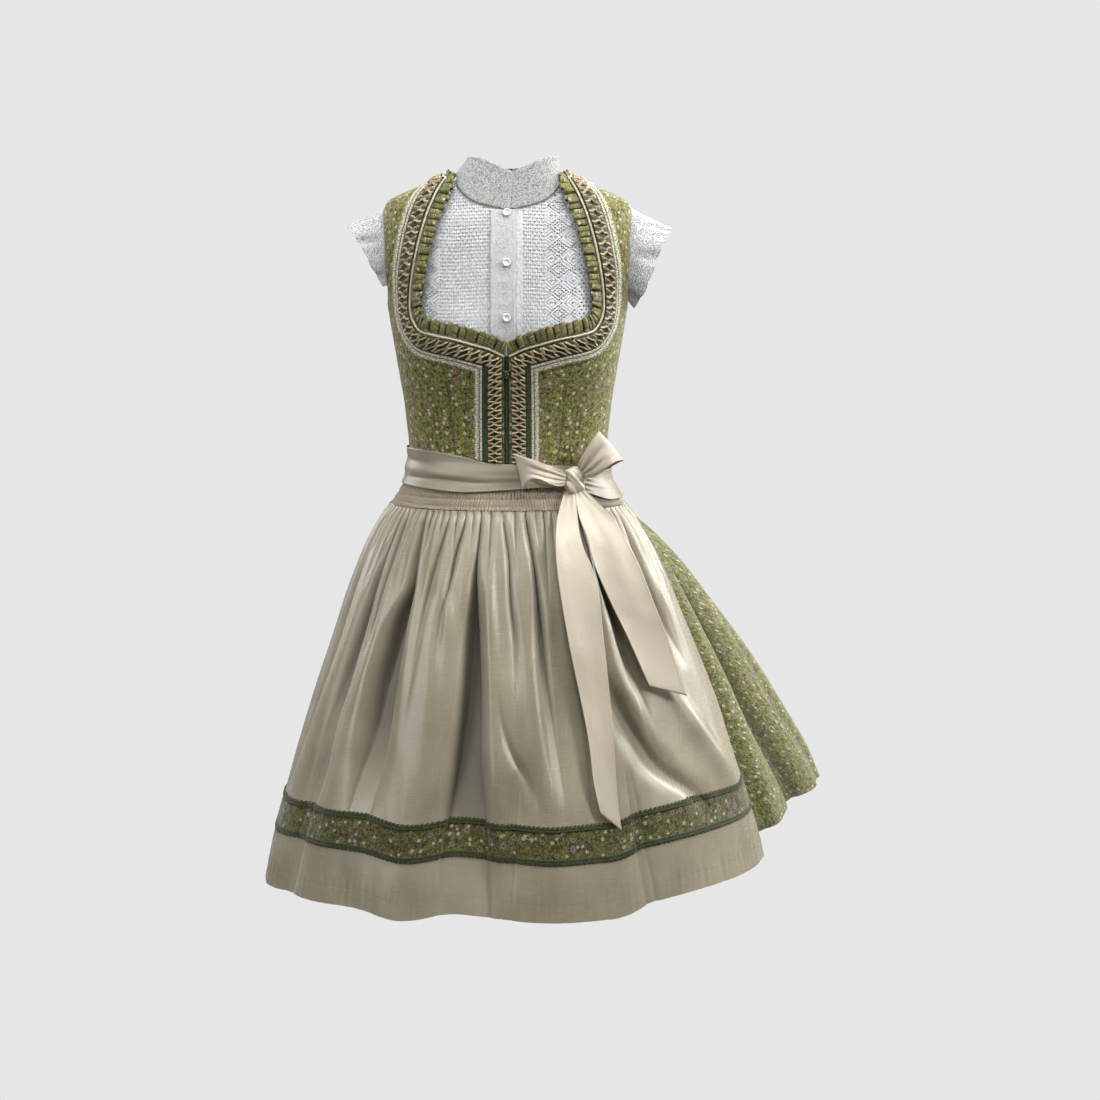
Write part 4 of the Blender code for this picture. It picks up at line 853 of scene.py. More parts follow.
def white_lace(name, base, shade, rings=False, mottle=1.0, bands=(), fine=0):
    """Corded white lace: threads, small loops and denser motifs, with painted shade in its holes by bands."""
    s = Shader(name, 0.85, Sheen_Weight=0.3, Sheen_Roughness=0.6, Specular_IOR_Level=0.25)
    threads = s.weave(0.0009, 0.6, 0.5)
    motif = s.cells(210.0, (2.0, 1.0, 0.0))
    if fine:
        speck = s.cells(fine, (0.7, 3.3, 0.0), (1.0, 0.8, 1.0))
        dark = s.mul(s.fall(speck[0], 0.10 / fine, 0.42 / fine), s.ramp(speck[1], 0.15, 0.45))
        curl = s.fall(s.abs(s.sub(motif[0], 0.0018)), 0.0002, 0.0008)
        tone = s.mad(curl, 0.20, s.mul(s.noise(340.0, 2.0, 0.7), 1.25))
        tone = s.mad(dark, -0.55, tone)
        height = s.mad(tone, 1.1, threads)
    else:
        loops = s.fall(s.abs(s.sub(motif[0], 0.0014)), 0.0, 0.0008)
        dense = s.noise(60.0, 2.0, 0.6)
        height = s.mad(loops, 0.7, threads)
        tone = s.mad(loops, 0.35, s.mul(s.noise(300.0, 2.0, 0.6), 0.6))
        tone = s.add(tone, s.mul(dense, 0.4))
    colour = s.mix(s.ramp(tone, 0.35, 0.95 / mottle), shade, base)
    if bands:
        drawn = band_marks(s, bands)
        colour = s.mix(s.mul(drawn, 0.62), colour, tuple(0.55 * c for c in shade))
        height = s.mad(drawn, -1.6, height)
    if rings:
        pitch = 0.030
        x, y, _ = s.split(s.vector("FRACTION", s.scaled((1 / pitch, 1 / pitch, 1.0), 0.0, (0.5, 0.0, 0.0))))
        from_x, from_y = (s.mul(s.sub(place, 0.5), pitch) for place in (x, y))
        far = s.sqrt(s.add(s.mul(from_x, from_x), s.mul(from_y, from_y)))
        far = s.mad(s.sin(s.mul(s.atan2(from_y, from_x), 8.0)), 0.0008, far)
        ring = s.fall(s.abs(s.sub(far, 0.0070)), 0.0006, 0.0016)
        heart = s.fall(s.abs(s.sub(far, 0.0030)), 0.0004, 0.0011)
        drawn = s.add(ring, heart)
        height = s.mad(drawn, 1.4, height)
        colour = s.mix(s.mul(drawn, 0.30), colour, shade)
    return s.done(colour, height, 0.00030, 0.7)


def band_marks(s, bands):
    """Painted shade in the lace's holes, in the same places as its charts put them."""
    x, y, _ = s.split(s.scaled((1 / CELL[0], 1 / CELL[1], 1.0)))
    dots = s.cos(s.mad(x, math.pi, -math.pi / 2))
    dots = s.mul(dots, s.cos(s.mad(y, math.pi / 2, -math.pi / 4)))
    dots = s.ramp(dots, 0.05, 0.85)
    across = s.abs(s.sub(s.fract(s.div(x, 10.0)), 0.5))
    up = s.abs(s.sub(s.fract(s.mad(y, 1 / 12, 0.125)), 0.5))
    far = s.add(s.mul(across, 10.0), s.mul(up, 12.0))
    diamonds = s.ramp(s.cos(s.mad(far, math.pi, -math.pi / 2)), 0.0, 0.9)
    drawn = None
    edges = [band[0] / CELL[0] for band in bands] + [1e3]
    for (_, chart), first, last in zip(bands, edges, edges[1:]):
        if chart:
            inside = s.mul(s.more(x, first), s.less(x, last))
            marks = s.mul(inside, diamonds if chart is DIAMONDS else dots)
            drawn = marks if drawn is None else s.add(drawn, marks)
    return drawn


def crochet(name, pale, deep):
    """Twisted yarn for crocheted edges and lace trims."""
    s = Shader(name, 0.85, Sheen_Weight=0.2, Specular_IOR_Level=0.25)
    yarn = s.weave(0.0011, 0.8, 0.6)
    tone = s.noise(500.0, 2.0, 0.6)
    return s.done(s.mix(s.ramp(tone, 0.35, 0.65), deep, pale), yarn, 0.00025, 0.8)


def ribbed(name, pale, deep, roughness, pitch=0.0006, sheen=0.2, turn=0.0):
    """Ribbon or cord with fine ribs across its length."""
    s = Shader(name, roughness, Sheen_Weight=sheen, Sheen_Roughness=0.4, Specular_IOR_Level=0.4)
    _, y, _ = s.split(s.scaled(2 * math.pi / pitch, turn))
    rib = s.sin(y)
    tone = s.noise((180.0, 420.0, 1.0), 2.0, 0.6)
    colour = s.mix(s.ramp(tone, 0.35, 0.68), deep, pale)
    return s.done(colour, s.mad(rib, 0.5, tone), 0.00010, 0.6)


def lipped(name, pale, deep, fold):
    """Braid cloth: two pale lips along each pleat, and painted shade in the fold between them."""
    s = Shader(name, 0.5, Sheen_Weight=0.25, Sheen_Roughness=0.4, Specular_IOR_Level=0.4)
    x, y, _ = s.split(s.uv)
    tone = s.noise((3.0, 5.0, 1.0), 2.0, 0.6)
    ribs = s.sin(s.mul(y, 34.0))
    lips = s.mix(s.ramp(tone, 0.35, 0.68), deep, pale)
    from_knot = s.abs(s.sub(s.fract(s.mad(y, 0.25, 0.5)), 0.5))
    inner = s.mul(s.fall(s.abs(x), 0.26, 0.46), s.ramp(from_knot, 0.06, 0.11))
    return s.done(s.mix(inner, lips, fold), s.mad(ribs, 0.5, tone), 0.00010, 0.6)


def moulded(name, colour, deep, roughness, metallic=0.0, scale=300.0):
    """Plastic or enamelled metal with a faint grain and worn tone."""
    s = Shader(name, roughness, Metallic=metallic, Specular_IOR_Level=0.5)
    grain = s.noise(scale, 3.0, 0.6)
    colour = s.mix(s.ramp(grain, 0.35, 0.7), deep, colour)
    rough = s.ramp(grain, 0.3, 0.7, roughness - 0.06, roughness + 0.08, "LINEAR")
    return s.done(colour, grain, 0.00004, 0.4, rough)


# ---------- blouse ----------

CELL = (2.9 * MM, 2.48 * MM)
OPENWORK = ("o.", "..", ".o", "..")
DIAMONDS = (
    "....oo....",
    "...o..o...",
    "..o.oo.o..",
    ".o.o..o.o.",
    "o.o....o.o",
    ".o.o..o.o.",
    "..o.oo.o..",
    "...o..o...",
    "....oo....",
    "..........",
    ".o.o..o.o.",
    "..........",
)
# Lace bands of each half: distance from centre front where a band starts, and its chart.
BANDS = {
    "left": ((0.000, None), (0.020, OPENWORK), (0.049, DIAMONDS), (0.093, OPENWORK)),
    "right": ((0.000, None), (0.021, OPENWORK), (0.088, DIAMONDS), (0.117, OPENWORK)),
}
LACE_HALF, LACE_FROM = 0.1276, {False: -0.2420, True: -0.0900}
COLLAR_TURN = 5.6


def turned(degrees):
    """The collar's front notch sits a little to the wearer's left of the centre."""
    return degrees - COLLAR_TURN * bell(signed(degrees), 40)


class Net:
    """Upright lace columns over the figure, with rows evenly spaced along the cloth."""

    columns, count = 80, 500

    def __init__(self, back, lift):
        self.lift = lift
        paths = [self.column(x, back) for x in np.linspace(0, LACE_HALF, self.columns)]
        self.length, self.heights, self.angles = (np.array(part) for part in zip(*paths))

    def column(self, x, back):
        z = np.linspace(LACE_FROM[back], 0.02, 4000)
        half = through(FIGURE, 1, z)
        z = z[: max(np.argmax(half * 0.9995 < x), 2)] if (half * 0.9995 < x).any() else z
        angle = angle_at(np.full(len(z), x), z)
        if back:
            angle = math.pi - angle
        over = z > through(COLLAR, 1, np.degrees(angle)) - COLLAR_GAP
        if over.any():
            keep = max(int(np.argmax(over)), 2)
            z, angle = z[:keep], angle[:keep]
        long = run(figure(angle, z))
        even = np.linspace(0, long[-1], self.count)
        return long[-1], np.interp(even, long, z), np.interp(even, long, angle)

    def place(self, x, s):
        """Points at a distance from the centre plane and a distance up the cloth."""
        side, x = np.sign(x), np.clip(abs(x), 0, LACE_HALF)
        at = x / LACE_HALF * (self.columns - 1)
        i = np.clip(at.astype(int), 0, self.columns - 2)
        f = at - i
        total = self.length[i] * (1 - f) + self.length[i + 1] * f
        share = np.clip(s / total, 0, 1) * (self.count - 1)
        j = np.clip(share.astype(int), 0, self.count - 2)
        g = share - j

        def mixed(table):
            near = table[i, j] * (1 - g) + table[i, j + 1] * g
            far = table[i + 1, j] * (1 - g) + table[i + 1, j + 1] * g
            return near * (1 - f) + far * f

        points = lay(mixed(self.angles), mixed(self.heights), self.lift)
        points[:, 0] *= np.where(side < 0, -1, 1)
        return points


def band_holes(side, columns, rows, start):
    """Where the blouse's lace has holes, by the bands of its half."""
    holes = np.zeros((rows, columns), bool)
    bands = BANDS[side]
    edges = [b[0] for b in bands[1:]] + [9]
    for (first, chart), last in zip(bands, edges):
        i0, i1 = (int(round((x - start) / CELL[0])) for x in (first, min(last, LACE_HALF)))
        i0, i1 = max(i0 + (chart is DIAMONDS), 0), min(i1 - (chart is DIAMONDS), columns)
        if chart and i1 > i0:
            holes[:, i0:i1] = charted(i1 - i0, rows, chart)
    return holes


def side_strip(net, back):
    """Places the plain cloth between the last lace column and the side seam with its armhole."""
    gap = SIDE_GAP if back else -SIDE_GAP
    turn, inset = (-math.pi, BLOUSE_BACK_INSET) if back else (math.pi, SLEEVE_INSET)
    hole = armhole(np.linspace(turn, 0, HOLE_POINTS), inset) + (gap, 0)
    z = np.concatenate([np.linspace(BLOUSE_HEM, LACE_FROM[back], 20), net.heights[-1]])
    angle = angle_at(np.full(len(z), LACE_HALF), z)
    angle = np.maximum(math.pi - angle, QUARTER + gap) if back else np.minimum(angle, QUARTER + gap)
    at = between(joined(np.stack([angle, z], -1)), joined([(QUARTER + gap, BLOUSE_HEM)], hole))
    return lambda u, v: lay(*at(v, u).T, net.lift)


def blouse_front(side, surface):
    name = side_name(side)
    net = Net(False, BLOUSE_OUT)
    start = 0.4 * MM
    columns = int((LACE_HALF - start) / CELL[0])
    rows = int(net.length.max() / CELL[1]) + 1

    def place(a, b):
        return net.place(start + a * (LACE_HALF - start) / columns, b * CELL[1])

    def below(u, v):
        z = BLOUSE_HEM + (LACE_FROM[False] - BLOUSE_HEM) * v
        return lay(angle_at(start + (LACE_HALF - start) * u, z), z, BLOUSE_OUT)

    holes = band_holes(name, columns, rows, start)
    extra = (plain(12, 6, below), plain(10, 60, side_strip(net, False)))
    return lacework(f"blouse_front_cloth_{name}", holes, 0.42, place, surface, CELL, side, extra)


def blouse_back(surface):
    net = Net(True, BLOUSE_BACK_OUT)
    columns = 2 * int(LACE_HALF / CELL[0])
    rows = int(net.length.max() / CELL[1]) + 1
    beyond = side_strip(net, True)

    def place(a, b):
        return net.place((a / columns * 2 - 1) * LACE_HALF, b * CELL[1])

    def below(u, v):
        z = BLOUSE_HEM + (LACE_FROM[True] - BLOUSE_HEM) * v
        return lay(math.pi - angle_at(LACE_HALF * (2 * u - 1), z), z, BLOUSE_BACK_OUT)

    holes = charted(columns, rows, OPENWORK)
    extra = (plain(24, 12, below), plain(10, 60, beyond), plain(10, 60, lambda u, v: beyond(u, v) * (-1, 1, 1)))
    return lacework("blouse_back_cloth", holes, 0.38, place, surface, CELL, extra=extra)


def placket(surface):
    left, right = PLACKET
    top = float(through(COLLAR, 1, 0)) - 2.5 * MM

    def place(u, v):
        height = PLACKET_LOW + (top - PLACKET_LOW) * v
        x = left + (right - left) * u
        from_edge = np.minimum(u, 1 - u) * (right - left)
        relief = 0.45 * MM * bell(from_edge - 0.0022, 0.0012)
        relief = relief + 0.35 * MM * ripple(v, (7, 0.4, 0.5), (13, 2.0, 0.3)) * (1 - abs(2 * u - 1))
        return lay(angle_at(x, height), height, BLOUSE_OUT + 3 * SEAM + relief)

    return cloth("blouse_placket_cloth", 24, 120, place, surface, 0.8 * MM)


def collar_half(name, surface):
    """Half of the lace collar. The wearer's left one lies over the other in a rounded point."""
    start, end = {"left": (COLLAR_TURN + 0.2, 179.8), "right": (-179.8, COLLAR_TURN + 0.4)}[name]

    def place(u, v):
        degrees = start + (end - start) * u
        behind = abs(signed(degrees))
        point = collar_point(turned(degrees), v * 1.05 - 0.05 - 0.42 * ease((behind - 88) / 30) * (1 - v) ** 2)
        point[:, 2] -= 12 * MM * ease((behind - 95) / 75) * v
        point[:, 0] += (1.5 + 6.0 * v) * MM
        rolled = 0.9 * MM * bell(v - 0.96, 0.05) + 0.4 * MM * bell(v - 0.05, 0.05)
        wave = 0.5 * MM * ripple(u, (3, 0.7, 0.6), (5, 2.1, 0.4)) * np.sin(math.pi * v)
        point = point + unit(point * (1, 1, 0)) * (rolled + wave)[:, None]
        point[:, 2] += 0.7 * MM * abs(np.sin(math.pi * u * 34)) * ease((v - 0.8) / 0.2)
        return point

    return cloth(f"blouse_collar_cloth_{name}", 150, 22, place, surface, 1.0 * MM)


SLEEVE_LACE = (
    "..........",
    ".o...o....",
    "..o.o...o.",
    "...o...o.o",
    "..o.o...o.",
    ".o...o....",
    "..........",
    "o.o.o.o.o.",
)


def sleeve(name, side, reach, surface):
    """A cap with scallops along its hem and soft radial waves."""
    first, last = reach[0][0], reach[-1][0]
    columns, rows = 126, 20
    droop = SLEEVE_DROOP[name]

    def place(a, b):
        u, v = a / columns, b / rows
        degrees = first + (last - first) * u
        turn = np.radians(degrees)
        root = lay(*armhole(turn, SLEEVE_INSET).T, BLOUSE_LIFT)
        root[:, 0] += 4 * SEAM
        fall = 0.05 + 0.42 * np.clip(np.cos(turn), 0, 1) ** 2
        out = unit(np.stack([np.full_like(turn, 0.90), -0.12 * np.sin(turn), -fall], -1))
        length = through(reach, 1, degrees)
        scallop = 2.6 * MM * abs(np.sin(math.pi * 14 * u)) ** 0.7 * ease((v - 0.55) / 0.45)
        long = (length - 1.5 * MM) * v + scallop * np.clip(length / 0.03, 0, 1)
        point = root + out * long[:, None]
        wave = ripple(u, (6, 0.6, 1.1), (11, 2.0, 0.7), (17, 4.0, 0.3)) * MM * ease(v / 0.8)
        wide = np.stack([np.zeros_like(turn), -np.sin(turn), np.cos(turn)], -1)
        point[:, 2] -= droop * ease((abs(degrees) - 85) / 50) * v
        return point + wide * wave[:, None]

    holes = charted(columns, rows, SLEEVE_LACE)
    holes[:2] = holes[-1:] = False
    cell = (2.7 * MM, 2.8 * MM)
    return lacework(f"blouse_sleeve_cloth_{name}", holes, 0.30, place, surface, cell, side, wall=0.5 * MM)


BUTTON_PROFILE = (
    # distance from the axis, height, both as shares
    (0.001, 0.52), (0.2, 0.54), (0.42, 0.6), (0.52, 0.74), (0.66, 0.92), (0.8, 1), (0.93, 0.9), (1, 0.66),
    (0.97, 0.36), (0.8, 0.14), (0.45, 0.06), (0.3, 0), (0.001, 0),
)


def button(number, height, surface):
    """A rounded button with a rim, a dished middle and a shank below."""
    rows = len(BUTTON_PROFILE) - 1
    u, v, columns, rows = shares(40, rows)
    turn = 2 * math.pi * u
    radius, rise = read(np.array(BUTTON_PROFILE), v).T
    flat = radius * BUTTON_RADIUS * (1 + 0.045 * np.cos(6 * turn) * (radius > 0.6))
    points = np.stack([flat * np.cos(turn), flat * np.sin(turn), (rise - 0.5) * BUTTON_THICK], -1)
    seat = lay(0.0, height, BLOUSE_OUT + 2.4 * MM + BUTTON_THICK / 2)
    out = Vector(seat - lay(0.0, height, 0.0)).normalized()
    points = points @ np.array(out.to_track_quat("Z", "Y").to_matrix()).T + seat
    name = f"blouse_button_round_{number}"
    return piece(name, points, quads(columns, rows)[:, ::-1], surface, np.stack([u, v], -1) * 0.03)


# ---------- bodice ----------


def panel(name, columns, rows, edges, surface, relief, side=1, seams=(1, 1)):
    """Bodice cloth between four edges of (angle, height); it dips a little into the seams at its sides."""
    bottom, top, start, end = edges

    def place(u, v):
        across, up = u[:, None], v[:, None]
        ends = (1 - up) * read(bottom, u) + up * read(top, u)
        sides = (1 - across) * read(start, v) + across * read(end, v)
        low = (1 - across) * bottom[0] + across * bottom[-1]
        high = (1 - across) * top[0] + across * top[-1]
        at = ends + sides - (1 - up) * low - up * high
        out = BODICE_LIFT + 0.8 * MM - 0.9 * MM * (seams[0] * bell(u, 0.035) + seams[1] * bell(1 - u, 0.035))
        return lay(*at.T, out + relief(u, v))

    return cloth(name, columns, rows, place, surface, 1.0 * MM, side=side)


def bodice_front(side, surface):
    seam = princess_seam(-SEAM)
    top = cut_at(front_neckline(), PRINCESS_SEAM[-1][1] - SEAM, True)
    zip_line = smooth_path([(ZIP_HALF, WAIST_HEIGHT), (ZIP_HALF, NECKLINE[0][1])])
    seam = joined(seam[:-1], top[-1:])
    edges = (straight(zip_line[0], seam[0]), top, zip_line, seam)

    def relief(u, v):
        pull = ripple(v, (6, 0.3, 0.5), (11, 1.9, 0.3), (19, 4.0, 0.2))
        return 0.55 * MM * pull * bell(1 - u, 0.22)

    name = f"bodice_front_cloth_{side_name(side)}"
    return panel(name, 48, 70, edges, surface, relief, side, (0, 1))


def bodice_side(side, surface):
    neck = cut_at(front_neckline(), PRINCESS_SEAM[-1][1] + SEAM, False)
    inner = joined(princess_seam(SEAM)[:-1], neck)
    hole = armhole(np.linspace(math.pi, 0, HOLE_POINTS)) - (SIDE_GAP, 0)
    outer = joined([(QUARTER - SIDE_GAP, WAIST_HEIGHT)], hole)
    edges = (straight(inner[0], outer[0]), straight(inner[-1], outer[-1]), inner, outer)

    def relief(u, v):
        low = 1 - ease(v / 0.45)
        pull = ripple(v, (6, 0.3, 0.5), (11, 1.9, 0.3), (19, 4.0, 0.2)) * bell(u, 0.18)
        slant = np.sin(2 * math.pi * (7 * v - 1.1 * u) + 0.6) * bell(u - 0.75, 0.3)
        return MM * (0.55 * pull * low + 0.55 * slant * low)

    name = f"bodice_side_cloth_{side_name(side)}"
    levels = read(np.array(SIDE_ROWS)[:, None], np.linspace(0, 1, 97))[:, 0]
    return panel(name, 38, levels, edges, surface, relief, side)


def bodice_back(surface):
    hole = armhole(np.linspace(-math.pi, 0, HOLE_POINTS)) + (SIDE_GAP, 0)
    edges = back_edges(WAIST_HEIGHT, hole, back_neckline())

    def relief(u, v):
        low = 1 - ease(v / 0.5)
        slant = np.sin(2 * math.pi * 8 * v + 7 * abs(u - 0.5)) * bell(abs(u - 0.5) - 0.36, 0.12)
        middle = np.sin(2 * math.pi * 6 * v) * bell(u - 0.5, 0.12)
        return MM * low * (1.0 * slant + 0.7 * middle)

    levels = read(np.array(BACK_ROWS)[:, None], np.linspace(0, 1, 79))[:, 0]
    return panel("bodice_back_cloth", 116, levels, edges, surface, relief)


# ---------- trims of the neckline and the front ----------

NECK_POINTS, FRONT_POINTS = 130, 44


def trim_lines(side, inner, outer, neck=NECK_POINTS, front=FRONT_POINTS):
    return between(*(trim_edge(side, *edge, neck, front) for edge in (inner, outer)))


def laid(at, lift):
    """Points of the figure along a trim."""
    return lambda u, v: lay(*at(u, v).T, lift(u, v))


def ribbon(side, surface):
    at = trim_lines(side, RIBBON_IN, RIBBON_OUT)

    def lift(u, v):
        edge = bell(np.minimum(v, 1 - v), 0.07)
        return TRIM_LIFT + MM * (0.25 * edge + 0.18 * ripple(u, (31, 0.2, 0.6), (57, 1.5, 0.4)))

    count = NECK_POINTS + FRONT_POINTS
    return cloth(f"neck_ribbon_cloth_{side_name(side)}", count, 10, laid(at, lift), surface, 0.8 * MM, side=side)


LACE_EDGE = (
    "..",
    "oo",
    "..",
    "o.",
)


def lace_trim(side, surface):
    """Crocheted edging with a scalloped outer edge."""
    at = trim_lines(side, LACE_IN, LACE_OUT)
    columns, rows = 164, 4

    def place(a, b):
        u, v = a / columns, b / rows
        scallop = 0.30 * (abs(np.sin(math.pi * (a - 0.5) / 2 + math.pi / 2)) - 0.35) * ease((v - 0.5) / 0.5)
        across = at(u, np.ones_like(u)) - at(u, np.zeros_like(u))
        relief = 0.5 * MM + 0.4 * MM * abs(np.sin(math.pi * a / 2)) * v
        return lay(*(at(u, v) + across * scallop[:, None]).T, TRIM_LIFT + relief)

    holes = charted(columns, rows, LACE_EDGE)
    name = f"neck_lace_trim_{side_name(side)}"
    return lacework(name, holes, 0.44, place, surface, (2.7 * MM, 2.4 * MM), side, wall=0.5 * MM)


def braid(side, surface):
    """Frog-mouth trim: box pleats whose edges are pinched together, so each leaves two lips and an open mouth."""
    at = trim_lines(side, BRAID_IN, BRAID_OUT, 120, 60)
    neck_repeats, front_repeats, neck_share = 27, 14, 120 / 180
    columns, rows = 16, 14
    u, v, _, _ = shares(columns, rows)
    t, b = 2 * u - 1, 2 * v - 1
    points, faces, cuts = [], [], []
    for k in range(neck_repeats + front_repeats):
        uneven = 0.05 * math.sin(3.7 * k) + 0.03 * math.sin(9.1 * k)
        open_to = 0.13 + (0.37 + uneven * 0.4) * np.sin(math.pi / 2 * abs(b)) ** 0.75
        lean = 0.07 * math.sin(5.3 * k + 1) * b + 0.03 * np.sin(3 * b + k)
        where = k + 0.5 + (open_to * t + lean) * 0.98
        beyond = neck_share + (where - neck_repeats) / front_repeats * (1 - neck_share)
        along = np.where(where < neck_repeats, where / neck_repeats * neck_share, beyond)
        lip = bell(abs(t) - 0.74, 0.26) * (2.4 + 4 * uneven)
        curl = -1.7 * ease((abs(t) - 0.88) / 0.12)
        crown = 0.5 * np.cos(math.pi * b / 2) + 0.5
        knot_rise = 0.9 * bell(b, 0.20)
        creases = 0.22 * np.sin(9 * t + 4 * b) * (1 - abs(b))
        edge = -0.7 * ease((abs(b) - 0.85) / 0.15)
        rise = np.clip(0.7 + (lip + curl) * (0.65 + 0.35 * crown) + knot_rise + creases + edge, 0.15, 3.3) * MM
        points.append(lay(*at(np.clip(along, 0, 1), (b + 1) / 2).T, TRIM_LIFT + TRIM_WALL + 0.2 * MM + rise))
        faces.append(quads(columns, rows, k * len(t)))
        cuts.append(np.stack([t, b + 4.0 * k], -1))
    points, faces, cuts = (np.concatenate(rows) for rows in (points, faces, cuts))
    return piece(f"neck_braid_folds_{side_name(side)}", points, faces, surface, cuts, side)


def piping(surface):
    """The cord along the neckline: its node's name and its object, for each of three lengths."""
    front = beside(front_neckline()[::-1], PIPING_AT)
    front = front[figure(*front.T)[:, 0] > PIPING_RADIUS + SEAM]
    back = read(beside(back_neckline(), -PIPING_AT), np.linspace(0.005, 0.995, 170))
    rows = {side_name(side): read(front, np.linspace(0.004, 1, 170)) * (side, 1) for side in (1, -1)}
    for name, row in {**rows, "back": back}.items():
        cord = lay(*row.T, BODICE_LIFT + BODICE_WALL + PIPING_RADIUS + 2 * SEAM)
        yield f"neck_piping_{name}", tube(f"neck_piping_{name}_cord", cord, PIPING_RADIUS, surface)


# One flat pleat of the ruffle and the gap after it: distance along in pleats, rise of the fold.
PLEAT = (
    (0, 0), (0.06, 0.02), (0.03, 0.35), (0.04, 0.7), (0.12, 0.9), (0.3, 0.96), (0.55, 1), (0.76, 0.98), (0.86, 0.86),
    (0.89, 0.62), (0.86, 0.3), (0.88, 0.06), (0.94, 0),
)
PLEATS = 47


def ruffle(side, surface):
    """A pleated strip that stands inwards from the neckline over the blouse."""
    neck = front_neckline()[::-1]
    full = 0.3 + 0.7 * ease(np.linspace(0, 1, len(neck)) / 0.16)
    root = beside(neck, -2.4 * MM)
    edge = beside(neck, -RUFFLE_WIDE * full)
    half = figure(*edge.T)[:, 0]
    clear = np.maximum(half, 1.0 * MM)
    edge[:, 0] = np.where(half < 0.05, angle_at(clear, edge[:, 1]), edge[:, 0])
    at = between(root, edge)
    fold = np.array(PLEAT)
    along, rise, tooth = [], [], []
    for k in range(PLEATS):
        uneven = 1 + 0.24 * math.sin(2.9 * k) + 0.14 * math.sin(7.3 * k + 1)
        along.append((k + fold[:, 0] + 0.16 * math.sin(4.1 * k)) / PLEATS)
        rise.append(fold[:, 1] * uneven)
        tooth.append(0.10 * math.sin(3.3 * k) + 0.10 * fold[:, 1])
    along, rise, tooth = (np.concatenate(values) for values in (along, rise, tooth))
    columns, rows = len(along) - 1, 6
    steps = np.arange(columns + 1)

    def place(u, v):
        across = 1 - v
        index = u * columns
        share, high, longer = (np.interp(index, steps, values) for values in (along, rise, tooth))
        share = share + 0.010 * np.sin(5 * index) * across / PLEATS
        row = at(np.clip(share, 0, 1), across * (0.94 + longer))
        over_placket = 1.4 * MM * bell(figure(*row.T)[:, 0], 0.026)
        opened = 0.45 + 0.55 * ease(across / 0.7)
        up = 0.3 * MM + 5.2 * MM * high * opened + (0.9 * MM * across**2) + over_placket * across
        return lay(*row.T, RUFFLE_LIFT - 0.4 * MM + up)

    obj = cloth(f"neck_ruffle_pleats_{side_name(side)}", columns, rows, place, surface, 0.35 * MM, 0, side)
    u, v, _, _ = shares(columns, rows)
    # Painted shade in the low gaps between the pleats.
    return shade(obj, 0.9 * np.clip(1 - 1.15 * np.interp(u * columns, steps, rise), 0, 1))


def zip_teeth(surface):
    """The closed coil: two rows of small slanted beads along the centre line."""
    bottom = float(sash_edge(0.0, 1)) + 1.0 * MM
    top = NECKLINE[0][1] - 2.0 * MM
    count = int((top - bottom) / (1.15 * MM))
    u, v, columns, rows = shares(8, 6)
    turn, lean = 2 * math.pi * u, math.pi * v
    points, faces = [], []
    for k in range(count):
        side = 1 if k % 2 else -1
        height = bottom + (top - bottom) * (k + 0.5) / count
        x = np.cos(lean) * 1.7 * MM + side * 0.5 * MM
        out = np.sin(lean) * np.cos(turn) * 0.55 * MM
        up = np.sin(lean) * np.sin(turn) * 0.50 * MM + x * 0.22 * side
        points.append(lay(angle_at(x, np.full(len(x), height)), height + up, BODICE_LIFT + 1.7 * MM + out))
        faces.append(quads(columns, rows, k * len(x)))
    points = np.concatenate(points)
    return piece("zip_teeth", points, np.concatenate(faces), surface, points[:, [0, 2]])


# height share, half width share
SLIDER_OUTLINE = ((-0.5, 0.3), (-0.42, 0.4), (0.1, 0.44), (0.36, 0.5), (0.5, 0.38))
# Flattened rings laid over the body, the bridge and the tab: reach, rise, width, thickness, drop, as shares.
SLIDER_RINGS = ((0.30, 0.52, 0.12, 0.10, 0.06), (0.34, 0.60, 0.26, 0.07, -0.22))


def zip_slider(surface):
    """The slider's body with its bridge and a short pull tab, one mesh."""
    low, high = (np.array(corner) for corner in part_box("zip_slider"))
    size = high - low
    u, v, columns, rows = shares(16, 16)
    half = through(SLIDER_OUTLINE, 1, v - 0.5) * size[0]
    bulge = np.sqrt(np.clip(1 - (2 * u - 1) ** 6, 0, 1)) * np.sqrt(np.clip(1 - (2 * v - 1) ** 8, 0, 1))
    top = np.stack([half * (2 * u - 1), -bulge * size[1] * 0.36, (v - 0.5) * size[2]], -1)
    points, faces = [top, top * (1, -0.2, 1)], [quads(columns, rows), quads(columns, rows, len(top))[:, ::-1]]
    for reach, rise, wide, thick, drop in SLIDER_RINGS:
        a, b, ring, sides = shares(24, 8)
        turn, around = 2 * math.pi * a, 2 * math.pi * b
        r = 1 + 0.30 * np.cos(around)
        x = np.cos(turn) * r * wide * size[0]
        y = -rise * size[1] - np.sin(around) * thick * size[1]
        faces.append(quads(ring, sides, sum(len(p) for p in points)))
        points.append(np.stack([x, y, (np.sin(turn) * r * reach + drop) * size[2]], -1))
    points = np.concatenate(points) + (low + high) / 2
    return piece("zip_slider_pull", points, np.concatenate(faces), surface, points[:, [0, 2]])


# ---------- sash, band, apron and skirt ----------

# Soft lengthwise folds of the sash: from and to angle, place across at each end, depth, half width across.
SASH_FOLDS = (
    (-75, 0, 0.22, 0.34, -1.7, 0.07), (-60, 28, 0.44, 0.52, 1.3, 0.13), (-100, -20, 0.72, 0.6, -0.9, 0.09),
    (-150, -80, 0.4, 0.3, -1.2, 0.08), (-200, -130, 0.65, 0.55, -1, 0.08), (-250, -190, 0.35, 0.45, -1.2, 0.09),
    (-300, -235, 0.6, 0.4, -1, 0.08), (-318, -290, 0.25, 0.35, -1.1, 0.07), (4, 33, 0.3, 0.5, -1.6, 0.06),
    (8, 33, 0.7, 0.58, -1.5, 0.06),
)


